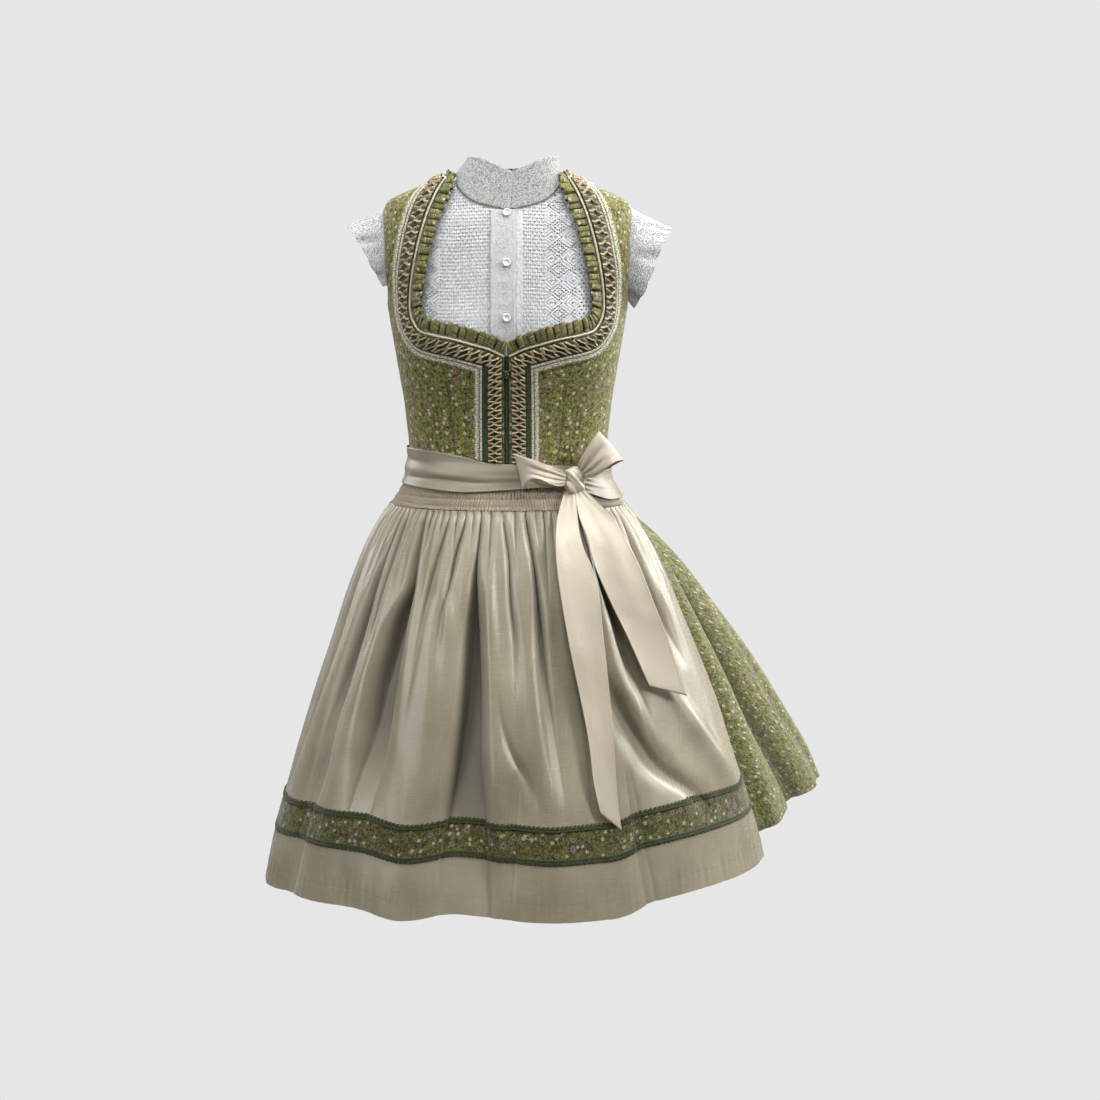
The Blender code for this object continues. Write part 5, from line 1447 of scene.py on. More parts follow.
def sash(surface):
    """One ribbon round the waist; its two ends meet under the knot, pleated together by its pull."""
    first, last = KNOT_ANGLE + 0.4 - 360, KNOT_ANGLE - 0.4

    def place(u, v):
        degrees = first + (last - first) * u
        angle = np.radians(degrees)
        low, high = sash_edge(angle, 2), sash_edge(angle, 1)
        height = low + (high - low) * v
        wrapped = signed(degrees)
        over_band = ease((wrapped + 118) / 12) * ease((108 - wrapped) / 12)
        lift = SASH_ON_BODICE + (SASH_LIFT - SASH_ON_BODICE) * over_band * ease((-0.3700 - height) / 0.0150)
        fold = np.zeros(len(u))
        for start, end, v0, v1, depth, wide in SASH_FOLDS:
            along = (degrees - start) / (end - start)
            ends = ease(along / 0.25) * ease((1 - along) / 0.25)
            centre = v0 + (v1 - v0) * np.clip(along, 0, 1) + 0.03 * np.sin(along * 5)
            fold = fold + depth * ends * bell(v - centre, wide)
        near = bell(first + 360 - wrapped, 9) + bell(degrees - first, 14)
        fan = np.cos(2 * math.pi * 5 * v + 0.5) * near
        hem = 0.35 * bell(np.minimum(v, 1 - v), 0.035)
        return lay(angle, height, lift + 0.6 * MM + MM * np.clip(fold + 0.8 * fan + hem, -1.9, 1.6))

    return cloth("sash_cloth", 320, 28, place, surface, 0.7 * MM)


FINE_RIBS, STITCH_ROWS = 132, (0.10, 0.30, 0.50, 0.70, 0.90)


def apron_band(surface):
    """The shirred band: fine upright ribs, pinched by rows of elastic stitching."""
    start, end = np.radians(APRON_ENDS)

    def place(u, v):
        bottom = BAND_BOTTOM + 1.2 * MM * (0.5 + 0.5 * np.cos(2 * math.pi * FINE_RIBS * u)) * ease((0.12 - v) / 0.12)
        height = bottom + (BAND_TOP - bottom) * v
        phase = FINE_RIBS * u + 0.22 * np.sin(2 * math.pi * 9 * u) + 0.10 * np.sin(2 * math.pi * 2.5 * v + 40 * u)
        rib = (1 - np.cos(2 * math.pi * phase)) / 2
        pinch = sum(bell(v - row, 0.028) for row in STITCH_ROWS)
        uneven = 0.85 + 0.15 * np.sin(2 * math.pi * (17 * u + 2 * v))
        lift = BAND_LIFT + BAND_WALL + BAND_RIB * 2.1 * rib * uneven * (1 - 0.45 * pinch) - 0.8 * MM * pinch
        return lay(start + (end - start) * u, height, lift)

    return cloth("apron_band_shirring", FINE_RIBS * 5, 34, place, surface, 0)


# Creases of the apron, each a line of points down the cloth: a valley between two rounded shoulders.
CREASES = (
    # share of the drop, degrees, half width of the valley and width of a shoulder in degrees, depth in mm
    ((0, -38.2, 0, 2, 0), (0.015, -38.2, 0, 2.2, 8), (0.13, -38.2, 0, 3.2, 17), (0.19, -38.6, 0.2, 3.8, 21),
     (0.28, -42, 1.8, 4.6, 26), (0.37, -43.5, 2.6, 5.2, 28), (0.48, -44, 3, 6, 26), (0.58, -44, 3.2, 7, 20),
     (0.68, -44.8, 3.5, 8, 11), (0.82, -46, 3.5, 8, 0)),
    ((0, -9.5, 0, 2, 0), (0.015, -9.5, 0, 2.2, 8), (0.1, -10.4, 0, 3, 15), (0.17, -11.2, 0.3, 3.6, 20),
     (0.344, -11.2, 1.8, 4.6, 29), (0.482, -11.4, 2.8, 5.4, 33), (0.634, -12.4, 4.2, 6.4, 31),
     (0.778, -12.5, 6.5, 8, 20), (0.88, -12.5, 7.5, 9, 14), (1, -12.5, 8, 10, 8)),
    ((0, 6.5, 0, 2, 0), (0.015, 6.8, 0, 2.2, 8), (0.118, 9.5, 0, 3, 15), (0.192, 10.8, 0.2, 3.4, 16),
     (0.29, 11.8, 0.7, 4, 14), (0.412, 12.8, 1.2, 4.8, 10), (0.556, 14.5, 1.5, 5.5, 6), (0.72, 16, 2, 6, 0)),
    ((0, -54, 0, 2.2, 0), (0.02, -54.4, 0, 2.4, 7), (0.1, -56, 0, 3.2, 12), (0.216, -58.8, 0.8, 4, 17),
     (0.4, -62.2, 2, 5.4, 17), (0.6, -64, 2.6, 7, 9), (0.78, -65, 3, 8, 0)),
    ((0, -50.3, 0, 2, 0), (0.02, -50.4, 0, 2.2, 7), (0.15, -51.5, 0, 3, 12), (0.27, -53.5, 0.4, 3.6, 7),
     (0.38, -55, 0.6, 4, 0)),
    ((0, -16.5, 0, 1.8, 0), (0.015, -16.5, 0, 2, 7), (0.102, -19.5, 0, 2.6, 12), (0.19, -21.6, 0.3, 3.2, 9),
     (0.3, -23.5, 0.5, 3.6, 3), (0.4, -24.5, 0.5, 4, 0)),
    ((0, -24.8, 0, 1.8, 0), (0.015, -24.8, 0, 2, 6), (0.08, -26.5, 0, 2.6, 9), (0.18, -29.5, 0.2, 3.4, 8),
     (0.33, -32, 0.5, 4.6, 4), (0.5, -33, 0.5, 5, 0)),
    ((0, -1.2, 0, 1.6, 0), (0.015, -1, 0, 1.8, 6), (0.118, 0.6, 0, 2.6, 11), (0.216, 1.2, 0.2, 3, 9),
     (0.34, 2.8, 0.5, 3.8, 5), (0.5, 2.5, 0.5, 4, 0)),
    ((0.42, -3, 0.5, 5, 0), (0.524, -1, 0.5, 5, 4), (0.596, 1.8, 0.5, 5, 6), (0.664, 6.8, 0.5, 5, 4),
     (0.76, 10, 0.5, 5, 0)),
    ((0, 34, 0, 2, 0), (0.015, 34.2, 0, 2.2, 7), (0.08, 36, 0, 3, 12), (0.19, 39.2, 0.6, 3.8, 17),
     (0.266, 42, 1.2, 4.6, 15), (0.334, 43.5, 1.4, 5.4, 12), (0.46, 45.8, 1.4, 6.4, 6), (0.62, 50, 2.2, 7, 0)),
    ((0.38, 33, 0.5, 5, 0), (0.49, 37.8, 1.5, 5.5, 9), (0.6, 44, 2, 6.4, 13), (0.67, 48.8, 2.2, 7, 12),
     (0.746, 58, 2.2, 7.4, 7), (0.86, 67, 2, 7, 0)),
    ((0, 61.2, 0, 2.2, 0), (0.02, 61.3, 0, 2.4, 8), (0.168, 61.8, 0.5, 4.2, 15), (0.278, 66.2, 1.2, 5, 12),
     (0.44, 70, 1.5, 6, 0)),
    ((0, 22, 0, 2, 0), (0.015, 22.2, 0, 2.2, 7), (0.1, 23.4, 0, 3.2, 10), (0.25, 25.4, 0.8, 4.2, 9),
     (0.45, 27.4, 1.6, 5.6, 7), (0.65, 28.2, 2, 7, 4), (0.9, 29, 2, 8, 0)),
    ((0, -72, 0, 2.2, 0), (0.02, -72.2, 0, 2.4, 7), (0.1, -73.2, 0, 3.4, 11), (0.26, -75, 0.8, 5, 14),
     (0.52, -78, 1.8, 7, 10), (0.82, -80, 2, 8, 0)),
    ((0.55, -62, 1, 7, 0), (0.7, -64, 2, 8, 8), (0.88, -66, 2, 9, 9), (1, -67, 2, 9, 8)),
    ((0.6, 4, 1, 7, 0), (0.75, 2, 1.5, 8, 6), (0.9, 1, 1.5, 8, 6), (1, 0, 1.5, 8, 5)),
    ((0.64, 38, 1, 7, 0), (0.78, 40, 1.5, 8, 6), (0.9, 41, 1.5, 9, 8), (1, 42, 1.5, 9, 7)),
)
# Broad swells of the cloth between them.
SWELLS = (
    # share of the drop, degrees, width in degrees, height in mm
    ((0.1, -27, 3, 0), (0.25, -27, 5, 6), (0.5, -28, 8, 9), (0.8, -30, 9, 7), (1, -30, 9, 6)),
    ((0.06, -22, 1.6, 0), (0.16, -24, 2.2, 4), (0.24, -21, 2.8, 7), (0.34, -19, 3.4, 4), (0.5, -18, 4, 0)),
    ((0.02, -4.5, 1.5, 0), (0.18, -5.4, 2.4, 6), (0.35, -4.4, 3.4, 8), (0.6, -3, 5, 6), (0.9, -3, 6, 0)),
    ((0.2, 6.5, 2.2, 0), (0.37, 7.6, 3, 5), (0.55, 10, 4.5, 8), (0.8, 15, 6, 6), (1, 18, 6, 3)),
    ((0.1, 33, 2, 0), (0.28, 36.5, 3, 7), (0.44, 40, 3.6, 8), (0.53, 45.5, 4, 4), (0.64, 49, 4, 0)),
    ((0.42, 58, 3, 0), (0.52, 62, 3.6, 6), (0.62, 67.8, 4.5, 9), (0.75, 76, 5, 6), (0.86, 80, 5, 0)),
    ((0.1, -49, 2, 0), (0.3, -50, 3, 5), (0.55, -52, 5, 6), (0.8, -53, 6, 3), (1, -54, 6, 2)),
)
# Short darts where the gathers leave the band: degrees, length as a share of the drop.
DARTS = (
    (-91, 0.12), (-86.5, 0.2), (-82, 0.09), (-77, 0.16), (-67.5, 0.12), (-62.5, 0.22), (-58, 0.09), (-46.2, 0.16),
    (-42.2, 0.09), (-34.4, 0.11), (-31, 0.24), (-28, 0.08), (-20.6, 0.16), (-13, 0.1), (-5.4, 0.2), (2.6, 0.17),
    (10.8, 0.1), (14.6, 0.24), (18.4, 0.13), (26.2, 0.1), (30, 0.2), (38.4, 0.1), (42.4, 0.18), (46.8, 0.1),
    (51.2, 0.22), (56.2, 0.12), (66, 0.18), (70.6, 0.1), (75.2, 0.2), (79.8, 0.12),
)


def rolled(away, valley, shoulder):
    """The share of a crease's depth at a distance from its line: a flat valley, then a rounded shoulder."""
    q = np.clip(1 - (abs(away) - valley) / shoulder, 0, 1)
    return 1 - np.sqrt(np.maximum(1 - q * q, 0))


def along(line, share):
    """The columns of one crease or swell at a share of the drop; its last column is nought beyond its ends."""
    *columns, deep = curves(line, share)
    return (*columns, deep * (share >= line[0][0]) * (share <= line[-1][0]))


def creased(degrees, share):
    """How far the listed creases move the cloth, in metres."""
    out = np.zeros(np.broadcast(degrees, share).shape)
    for line in CREASES:
        centre, valley, shoulder, deep = along(line, share)
        out = out - deep * MM * rolled(degrees - centre, valley, shoulder)
    for line in SWELLS:
        centre, wide, high = along(line, share)
        out = out + high * MM * bell(degrees - centre, wide)
    return out


def dart(k, at, length, degrees, share):
    """One dart: its depth in mm and the share of it at each place."""
    along = np.clip(share / length, 0, 1)
    lean = at * (1 + 0.30 * share) + 0.6 * math.sin(1.7 * k) * along
    deep = (7.4 + 1.6 * math.sin(2.3 * k)) * ease(share / 0.012) * (1 - along) ** 0.8
    return deep * rolled(degrees - lean, 0.0, 2.2 + 1.6 * along)


def apron_gathers(degrees, share):
    """Darts that leave the band between rounded folds, which puff out just below it."""
    out = np.zeros(np.broadcast(degrees, share).shape)
    for k, (at, length) in enumerate(DARTS):
        out = out - dart(k, at, length, degrees, share)
    puff = 3.4 * ease(share / 0.03) * (1 - ease((share - 0.05) / 0.30))
    soft = ripple(degrees / 360, (71, 2.0, 0.6), (33, 1.0, 0.5))
    return MM * (out + puff + 1.2 + 0.9 * soft * ease(share / 0.02) * (1 - 0.7 * ease((share - 0.08) / 0.4)))


def hollow(degrees, share):
    """How far a place lies down in a fold, from 0 to 1: the strength of the apron's painted shade, less towards the
    hem.
    """
    found = np.zeros(np.broadcast(degrees, share).shape)
    for line in CREASES:
        centre, valley, shoulder, deep = along(line, share)
        found = found + deep / 13 * rolled(degrees - centre, valley, shoulder) * (1 - 0.55 * ease(share / 0.7))
    for k, (at, length) in enumerate(DARTS):
        found = found + dart(k, at, length, degrees, share) / 9
    return np.clip(found, 0, 1.0)


def apron_degrees(across):
    return APRON_ENDS[0] + (APRON_ENDS[1] - APRON_ENDS[0]) * across


def apron_base(across, share):
    """The apron's outer face at a share of its width and of its drop."""
    degrees = apron_degrees(across)
    ends = ease(across / 0.03) * ease((1 - across) / 0.03)
    out = creased(degrees, share) * ends
    out = out + apron_gathers(degrees, share) * (0.35 + 0.65 * ends)
    slight = ripple(degrees / 60, (3, 0.2, 0.5), (7, 1.4, 0.3)) * ripple(share, (2.3, 0.5, 0.7), (5.1, 2.2, 0.3))
    out = out + 1.2 * MM * slight * ease(share / 0.25)
    puckers = ripple(degrees / 360, (173, 0.3, 0.6), (121, 2.2, 0.5), (59, 1.0, 0.5))
    stitched = bell(share - 0.953, 0.016) + 0.6 * ease((share - 0.96) / 0.03)
    out = out + 0.55 * MM * puckers * stitched
    return flared(APRON_HEM, degrees, share, BAND_LIFT + 3.0 * MM, out)


def apron_above(lift):
    """The apron's outer face moved out by lift, as a function of the share across and of the drop."""

    def place(across, share):
        e = 1.2e-3
        right, left, low, high = (np.clip(at, 0, 1) for at in (across + e, across - e, share + e, share - e))
        level = apron_base(right, share) - apron_base(left, share)
        normal = unit(np.cross(level, apron_base(across, high) - apron_base(across, low)))
        return apron_base(across, share) + normal * np.asarray(lift)[..., None]

    return place


APRON_FINE = 580


def apron_panel(surface):
    levels = 1 - np.concatenate([np.linspace(0, 0.10, 24)[:-1], np.linspace(0.10, 1, 80)])[::-1]
    place = apron_above(0.6 * MM)

    def uv(u, v):
        """The flat cut: it narrows towards the band, where the gathers take up its width."""
        return np.stack([(u - 0.5) * (0.62 + 0.45 * (1 - v)), APRON_DROP - (1 - v) * APRON_DROP], -1)

    obj = cloth("apron_cloth", APRON_FINE, levels, lambda u, v: place(u, 1 - v), surface, 0, uv=uv)
    u, v, _, _ = shares(APRON_FINE, levels)
    # Painted shade in the apron's creases and darts.
    return shade(obj, hollow(apron_degrees(u), 1 - v))


def apron_strip(name, first, last, rows, lift, surface, wall):
    place = apron_above(lift)
    return cloth(name, APRON_FINE, rows, lambda u, v: place(u, last + (first - last) * v), surface, wall)


PICOT = (
    "....",
    "oooo",
    ".o.o",
)


def crochet_edge(name, share, surface, up):
    """Crocheted edging over one border of the printed band: a row of holes and a row of small points."""
    half = (EDGING_TALL if up else -EDGING_TALL) / 2 / APRON_DROP
    place_on = apron_above(2.0 * MM)
    columns, rows = 276, 3

    def place(a, b):
        v = b / rows
        v = v * 0.85 + 0.22 * abs(np.sin(math.pi * a / 2)) * ease((v - 0.45) / 0.55)
        low, high = share + half, share - half
        return place_on(a / columns, low + (high - low) * v)

    holes = charted(columns, rows, PICOT)
    return lacework(name, holes, 0.30, place, surface, (2.9 * MM, 2.7 * MM), wall=0.6 * MM)


# Creases of the skirt beside the apron: at the waist and at the hem in degrees, shoulder, depth in mm, first share.
SKIRT_CREASES = ((100.0, 102.5, 5.0, 22, 0.04), (106.5, 109.5, 3.6, 9, 0.30), (89.5, 91.5, 3.0, 8, 0.10))


def skirt_creased(degrees, share):
    """The depth in mm of the skirt's creases."""
    out = np.zeros(np.broadcast(degrees, share).shape)
    for top, hem, shoulder, deep, first in SKIRT_CREASES:
        centre = top + (hem - top) * share + 0.7 * np.sin(7 * share)
        out = out + deep * ease((share - first) / 0.4) * rolled(degrees - centre, 0.3 + 0.8 * share, shoulder)
    return out


# From and to angle, columns, degrees from one gather to the next.
SKIRT_CLOTHS = {"skirt_front": (-91.0, 91.0, 182, 9.0), "skirt_back": (90.0, 270.0, 490, 6.0)}


def skirt_cloth(name, start, end, columns, surface, pitch):
    """Gathered skirt between two angles: a yoke under the sash, then the flare with its folds."""
    levels = np.concatenate([np.linspace(0, 0.88, 46)[:-1], np.linspace(0.88, 0.93, 10)[:-1], np.linspace(0.93, 1, 7)])

    def below_yoke(v):
        return np.clip((1 - v - YOKE) / (1 - YOKE), 0, 1)

    def gathered(degrees, around, wrapped, share):
        """Small pleats below the waist that join into larger ones, flat at the side seams, in mm."""
        phase = 2 * math.pi * degrees / pitch + 1.2 * np.sin(np.radians(degrees) * 4.7)
        deep = 0.7 + 0.3 * np.sin(np.radians(degrees) * 9 + 1)
        narrow = (abs(np.cos(phase / 2)) ** 0.6) * 2 - 1
        short = ease(share / 0.02) * (1 - ease((share - 0.10) / 0.35))
        large = ease((share - 0.03) / 0.12) * (1 - 0.75 * ease((share - 0.25) / 0.65))
        back = ease((around - 92) / 6) * ease((266 - around) / 6)
        inside = np.where(abs(wrapped) > 90, back, 0.35 * ease((89 - abs(wrapped)) / 6))
        return (3.8 * deep * narrow * short + 4.2 * deep * np.sin(phase / 2 + 0.9) * large) * inside

    def place(u, v):
        down = 1 - v
        degrees = start + (end - start) * u
        around, wrapped = degrees % 360, signed(degrees)
        share = np.clip((down - YOKE) / (1 - YOKE), 0, 1)
        out = folds(SKIRT_FOLDS, 90, 270, around, share)
        # under the apron the skirt keeps clear of the apron's troughs
        under = np.minimum(creased(wrapped, share) + apron_gathers(wrapped, share) + 3 * MM, 0)
        under = under * ease((wrapped + 102) / 5) * ease((91 - wrapped) / 5)
        out = out + MM * gathered(degrees, around, wrapped, share) + under
        out = out - MM * skirt_creased(around, share)
        if name == "skirt_front_cloth":
            out = out - 0.7 * MM * ease((abs(wrapped) - 88.6) / 1.0)
        # at the wearer's right it stands out to meet the apron's end
        out = out + 25 * MM * share**0.8 * ease((wrapped + 142) / 38) * ease((-70 - wrapped) / 14)
        flare = flared(SKIRT_HEM, degrees, share, SKIRT_LIFT + 0.7 * MM, out)
        top = WAIST_HEIGHT - 3 * SEAM
        height = top + (FLARE_TOP - top) * np.clip(down / YOKE, 0, 1)
        yoke = lay(np.radians(degrees), height, SKIRT_LIFT + 0.7 * MM)
        return np.where((down < YOKE)[:, None], yoke, flare)

    obj = cloth(name, columns, levels, place, surface, 0)
    u, v, _, _ = shares(columns, levels)
    share, around = below_yoke(v), (start + (end - start) * u) % 360
    # Painted shade in the skirt's creases and in the valleys of its large folds.
    depth = np.clip(skirt_creased(around, share) / 20, 0, 1) * 0.8
    return shade(obj, depth + np.clip(-folds(SKIRT_FOLDS, 90, 270, around, share) / 0.026, 0, 1) * 0.60)


# ---------- bow ----------


def knot(surface, middle):
    """The wrapped turn of ribbon that holds the bow: a crowned form with slanting folds."""
    u, v, columns, rows = shares(72, 44)
    turn, lean = 2 * math.pi * u, math.pi * v
    across, front, up = np.sin(lean) * np.cos(turn), -np.sin(lean) * np.sin(turn), -np.cos(lean)
    square = 1 / (abs(across) ** 4 + abs(front) ** 4 + abs(up) ** 4) ** 0.25
    square = 1 + (square - 1) * 0.55
    slant = up * 1.0 + across * 0.75
    fold = 0.10 * np.cos(slant * 6.2 + 0.8 * np.sin(3 * across) + 0.5) + 0.05 * np.cos(slant * 13 + 2 * across)
    rim = 1 + fold * np.sin(lean) * (0.4 + 0.6 * ease(0.5 - front))
    body = np.stack([across, front, up], -1) * (square * rim)[:, None]
    body[:, 2] *= 1 - 0.10 * abs(across)
    facing = np.array(Matrix.Rotation(math.radians(KNOT_ANGLE * 0.7), 3, "Z"))
    points = (body * np.array(KNOT_SIZE) / 2 * 0.98) @ facing.T + np.array(middle)
    return piece("bow_knot_wrap", points, quads(columns, rows), surface, np.stack([u * 0.08, v * 0.05], -1))


BOW_LOOPS = {
    # turn: degrees from +X towards +Z, long, near and far: its length and its width at the knot and at the tip,
    # deep: half its depth, open: the edge that shows the inside, drop: how far the front layer falls away from it
    # in metres, swell: how far it opens, lean: how much longer one edge is, fuller: how soon it widens,
    # round: how far the corners of its tip draw in, rays: place, slope, depth in mm and reach of each crease
    "right": dict(
        turn=171, long=0.063, near=0.018, far=0.046, deep=0.0085,
        open=1.0, drop=0.030, swell=1.3, lean=0.15, fuller=0.70, round=-0.02,
        rays=((0.12, 0.10, -1.9, 0.9), (-0.14, -0.12, -1.5, 0.8), (0.28, 0.2, 1.2, 0.9), (-0.30, -0.1, 1.0, 0.9)),
    ),
    "left": dict(
        turn=43, long=0.054, near=0.018, far=0.052, deep=0.0085,
        open=-1.0, drop=0.012, swell=2.2, lean=0.02, fuller=0.55, round=0.02,
        rays=((0.10, 0.05, -3.0, 0.9), (-0.16, -0.10, -2.2, 0.8), (-0.34, -0.1, 1.4, 1.0), (0.30, 0.1, 1.2, 0.8)),
    ),
}


def loop_cloth(name, middle, frontmost, surface):
    """A loop of the bow: out in front, round its open tip, and back behind, creased towards the knot."""
    shape = BOW_LOOPS[name]
    long, near, far, deep, edge = (shape[key] for key in ("long", "near", "far", "deep", "open"))
    lean = math.radians(shape["turn"])
    direction = np.array([math.cos(lean), 0, math.sin(lean)])
    across = np.array([-direction[2], 0, direction[0]])
    start = 0.5 / math.hypot(direction[0] / KNOT_SIZE[0], direction[2] / KNOT_SIZE[2]) + 0.6 * MM
    start -= 3.5 * MM
    apart = 2.2 * MM
    depths = []
    for share in np.linspace(0, 1, 8):
        x, _, height = np.array(middle) + direction * (start + long * share)
        behind = deep * math.sin(math.pi * min(share + 0.02, 1)) + apart + 2.4 * MM
        depths.append((share, min(frontmost(x, height, 0.016, middle.y + 0.02) - behind, middle.y)))

    def place(u, v):
        out = (1 - np.cos(2 * math.pi * u)) / 2
        front = np.cos(math.pi * u) > 0
        wide = near * 0.8 + (far - near * 0.8) * out ** shape["fuller"]
        thick = deep * np.sin(2 * math.pi * u) + apart * np.cos(math.pi * u)
        toward = v if edge > 0 else 1 - v
        swell = 1 + shape["swell"] * toward**2 * out
        rounded = shape["round"] * abs(2 * v - 1) ** 2.2 * out**3
        reach = start + long * out * (1 - shape["lean"] * (2 * v - 1) * edge - rounded)
        point = np.array(middle) + direction * reach[:, None]
        arch = np.sin(math.pi * np.clip(out, 0, 1)) ** 0.5
        lift = np.where(front, 1.0, 0.0) * shape["drop"] * toward**2 * out**1.3 * arch
        point = point + across * (wide * (v - 0.5) - edge * lift)[:, None]
        rays = 0
        for place_at, slope, depth, reach in shape["rays"]:
            ray = bell(v - 0.5 - slope * (out - 0.1) - place_at, 0.05 + 0.07 * out)
            rays = rays + depth * ray * np.sin(math.pi * np.clip(out / reach, 0, 1)) ** 0.8
        fan = 0.9 * MM * np.cos(2 * math.pi * 4 * v) * (1 - ease(out / 0.30))
        point[:, 1] = through(depths, 1, out) - thick * swell - np.where(front, 1, 0.5) * MM * rays - fan
        return point

    return cloth(f"bow_loop_cloth_{name}", 92, 32, place, surface, 0.7 * MM, 0)


# Lengthwise folds of the tails: from and to share of the length, place across at each end, depth in mm, half width.
TAIL_FOLDS = {
    "long": (
        (0, 0.35, 0.3, 0.4, -2.4, 0.12), (0, 0.3, 0.72, 0.66, -1.8, 0.1), (0.05, 0.6, 0.12, 0.2, 1.6, 0.12),
        (0.25, 0.85, 0.7, 0.55, -1, 0.16), (0.45, 1, 0.3, 0.36, 1.1, 0.18),
    ),
    "short": (
        (0, 0.45, 0.35, 0.42, -2.2, 0.11), (0, 0.35, 0.72, 0.78, -1.8, 0.1), (0.1, 0.8, 0.55, 0.6, 1.5, 0.14),
        (0.35, 1, 0.22, 0.18, -1.1, 0.15),
    ),
}


def tail_cloth(name, rows, middle, frontmost, surface):
    """A free end that leaves the knot's lower end in narrow folds and spreads over the apron."""
    foot = middle.z - KNOT_SIZE[2] / 2 + 5 * MM
    right, left = TAIL_STARTS[name]
    rows = ((foot, middle.x + right * 0.75, middle.x + left * 0.75 + 1.5 * MM), *rows)
    rows = np.column_stack([np.linspace(0, 1, len(rows)), rows])
    fine = np.linspace(0, 1, 22)
    # how far back each place of the tail can lie, on seven lines down its length
    behind = []
    for v in fine:
        height, right, left = (float(value) for value in curves(rows, v))
        behind.append([frontmost(x, height, 0.009, -0.09) - TAIL_CLEAR - 1.6 * MM for x in np.linspace(right, left, 7)])
    behind = np.array(behind)
    behind[0] = middle.y - 1 * MM
    places = np.linspace(-0.5, 0.5, 7)
    slope = (behind * places).sum(1, keepdims=True) / (places**2).sum()
    flat = behind.mean(1, keepdims=True) + 0.5 * slope * places
    behind = flat + (behind - flat).min(1, keepdims=True)
    padded = np.concatenate([behind[:1], behind[:1], behind, behind[-1:], behind[-1:]])
    behind[2:] = np.min([padded[k : k + len(fine)] for k in range(5)], 0)[2:]
    for _ in range(14):
        behind[1:-1] = (behind[:-2] + 2 * behind[1:-1] + behind[2:]) / 4
    depths = np.column_stack([fine, behind])

    def place(u, v):
        v = 1 - v
        height, right, left = curves(rows, v)
        height = height - TAIL_CUT[name] * u * ease((v - 0.6) / 0.4)
        y = through(depths, 1, v) * (1 - u) + through(depths, 7, v) * u
        fold = np.zeros(len(u))
        for first, last, u0, u1, depth, wide in TAIL_FOLDS[name]:
            reach = (v - first) / (last - first)
            ends = np.clip(reach / 0.12 + (first == 0), 0, 1) * ease((1 - reach) / 0.3)
            centre = u0 + (u1 - u0) * np.clip(reach, 0, 1)
            fold = fold + 0.55 * depth * ends * bell(u - centre, 1.5 * wide)
        pleats = 1.1 * np.cos(2 * math.pi * 2.5 * u + 0.6) * (1 - ease(v / 0.14))
        roll = 0.5 * bell(np.minimum(u, 1 - u), 0.03)
        wave = 0.6 * ripple(v, (3, 0.5, 0.6), (7, 1.0, 0.3)) * (2 * u - 1)
        y = y - MM * (1.4 + np.clip(fold + pleats + roll + wave, -1.5, 3))
        return np.stack([right + (left - right) * u, y, height], -1)

    return cloth(f"bow_tail_cloth_{name}", 32, 120, place, surface, 0.7 * MM, 0)


# ---------- stage, light and camera ----------


def camera():
    lens = bpy.data.cameras.new("camera")
    lens.sensor_width = lens.sensor_height = SENSOR
    lens.lens = SENSOR * CAMERA_FAR / CAMERA_SCALE / PICTURE_PIXELS
    obj = add("camera", lens)
    lift = math.radians(CAMERA_RISE)
    obj.location = Vector(CAMERA_AIM) + Vector((0, -CAMERA_FAR * math.cos(lift), CAMERA_FAR * math.sin(lift)))
    obj.rotation_euler = (math.pi / 2 - lift, 0, 0)
    bpy.context.scene.camera = obj


def light(name, place, aim, size, power):
    lamp = bpy.data.lights.new(name, "AREA")
    lamp.shape, lamp.energy = "RECTANGLE", power
    lamp.size, lamp.size_y = size
    obj = add(name, lamp)
    obj.location = place
    obj.rotation_euler = (Vector(aim) - Vector(place)).to_track_quat("-Z", "Y").to_euler()
    obj.visible_camera = False


def backdrop():
    """A pale floor and a plain pale surround, which throw and take no light."""
    pale = Shader("pale backdrop", 1.0, Specular_IOR_Level=0.0)
    grain = pale.noise(6.0, 2.0, 0.5)
    tone = pale.mix(grain, (0.788, 0.788, 0.788), (0.796, 0.796, 0.796))
    pale.tree.links.new(tone, pale.surface.inputs["Emission Color"])
    pale.surface.inputs["Emission Strength"].default_value = 1.0
    pale.surface.inputs["Base Color"].default_value = (0, 0, 0, 1)
    u, v, columns, rows = shares(24, 24)
    points = np.stack([(u - 0.5) * FLOOR_SIDE, (v - 0.5) * FLOOR_SIDE, np.full(len(u), FLOOR)], -1)
    floor = piece("floor", points, quads(columns, rows), pale.material, points[:, :2])
    u, v, columns, rows = shares(64, 24)
    turn, lean = 2 * math.pi * u, math.pi / 2 * v
    points = np.stack([np.cos(turn) * np.cos(lean), np.sin(turn) * np.cos(lean), np.sin(lean) - 0.001], -1)
    points = points * DOME_RADIUS + (0, 0, FLOOR)
    dome = piece("surround", points, quads(columns, rows)[:, ::-1], pale.material, np.stack([u, v], -1) * 20)
    for obj in (floor, dome):
        obj.visible_diffuse = obj.visible_glossy = obj.visible_transmission = obj.visible_shadow = False
    world = bpy.context.scene.world or bpy.data.worlds.new("world")
    bpy.context.scene.world = world
    world.use_nodes = True
    sky = world.node_tree.nodes["Background"].inputs
    sky["Color"].default_value, sky["Strength"].default_value = (*WORLD_COLOUR, 1), WORLD_LIGHT


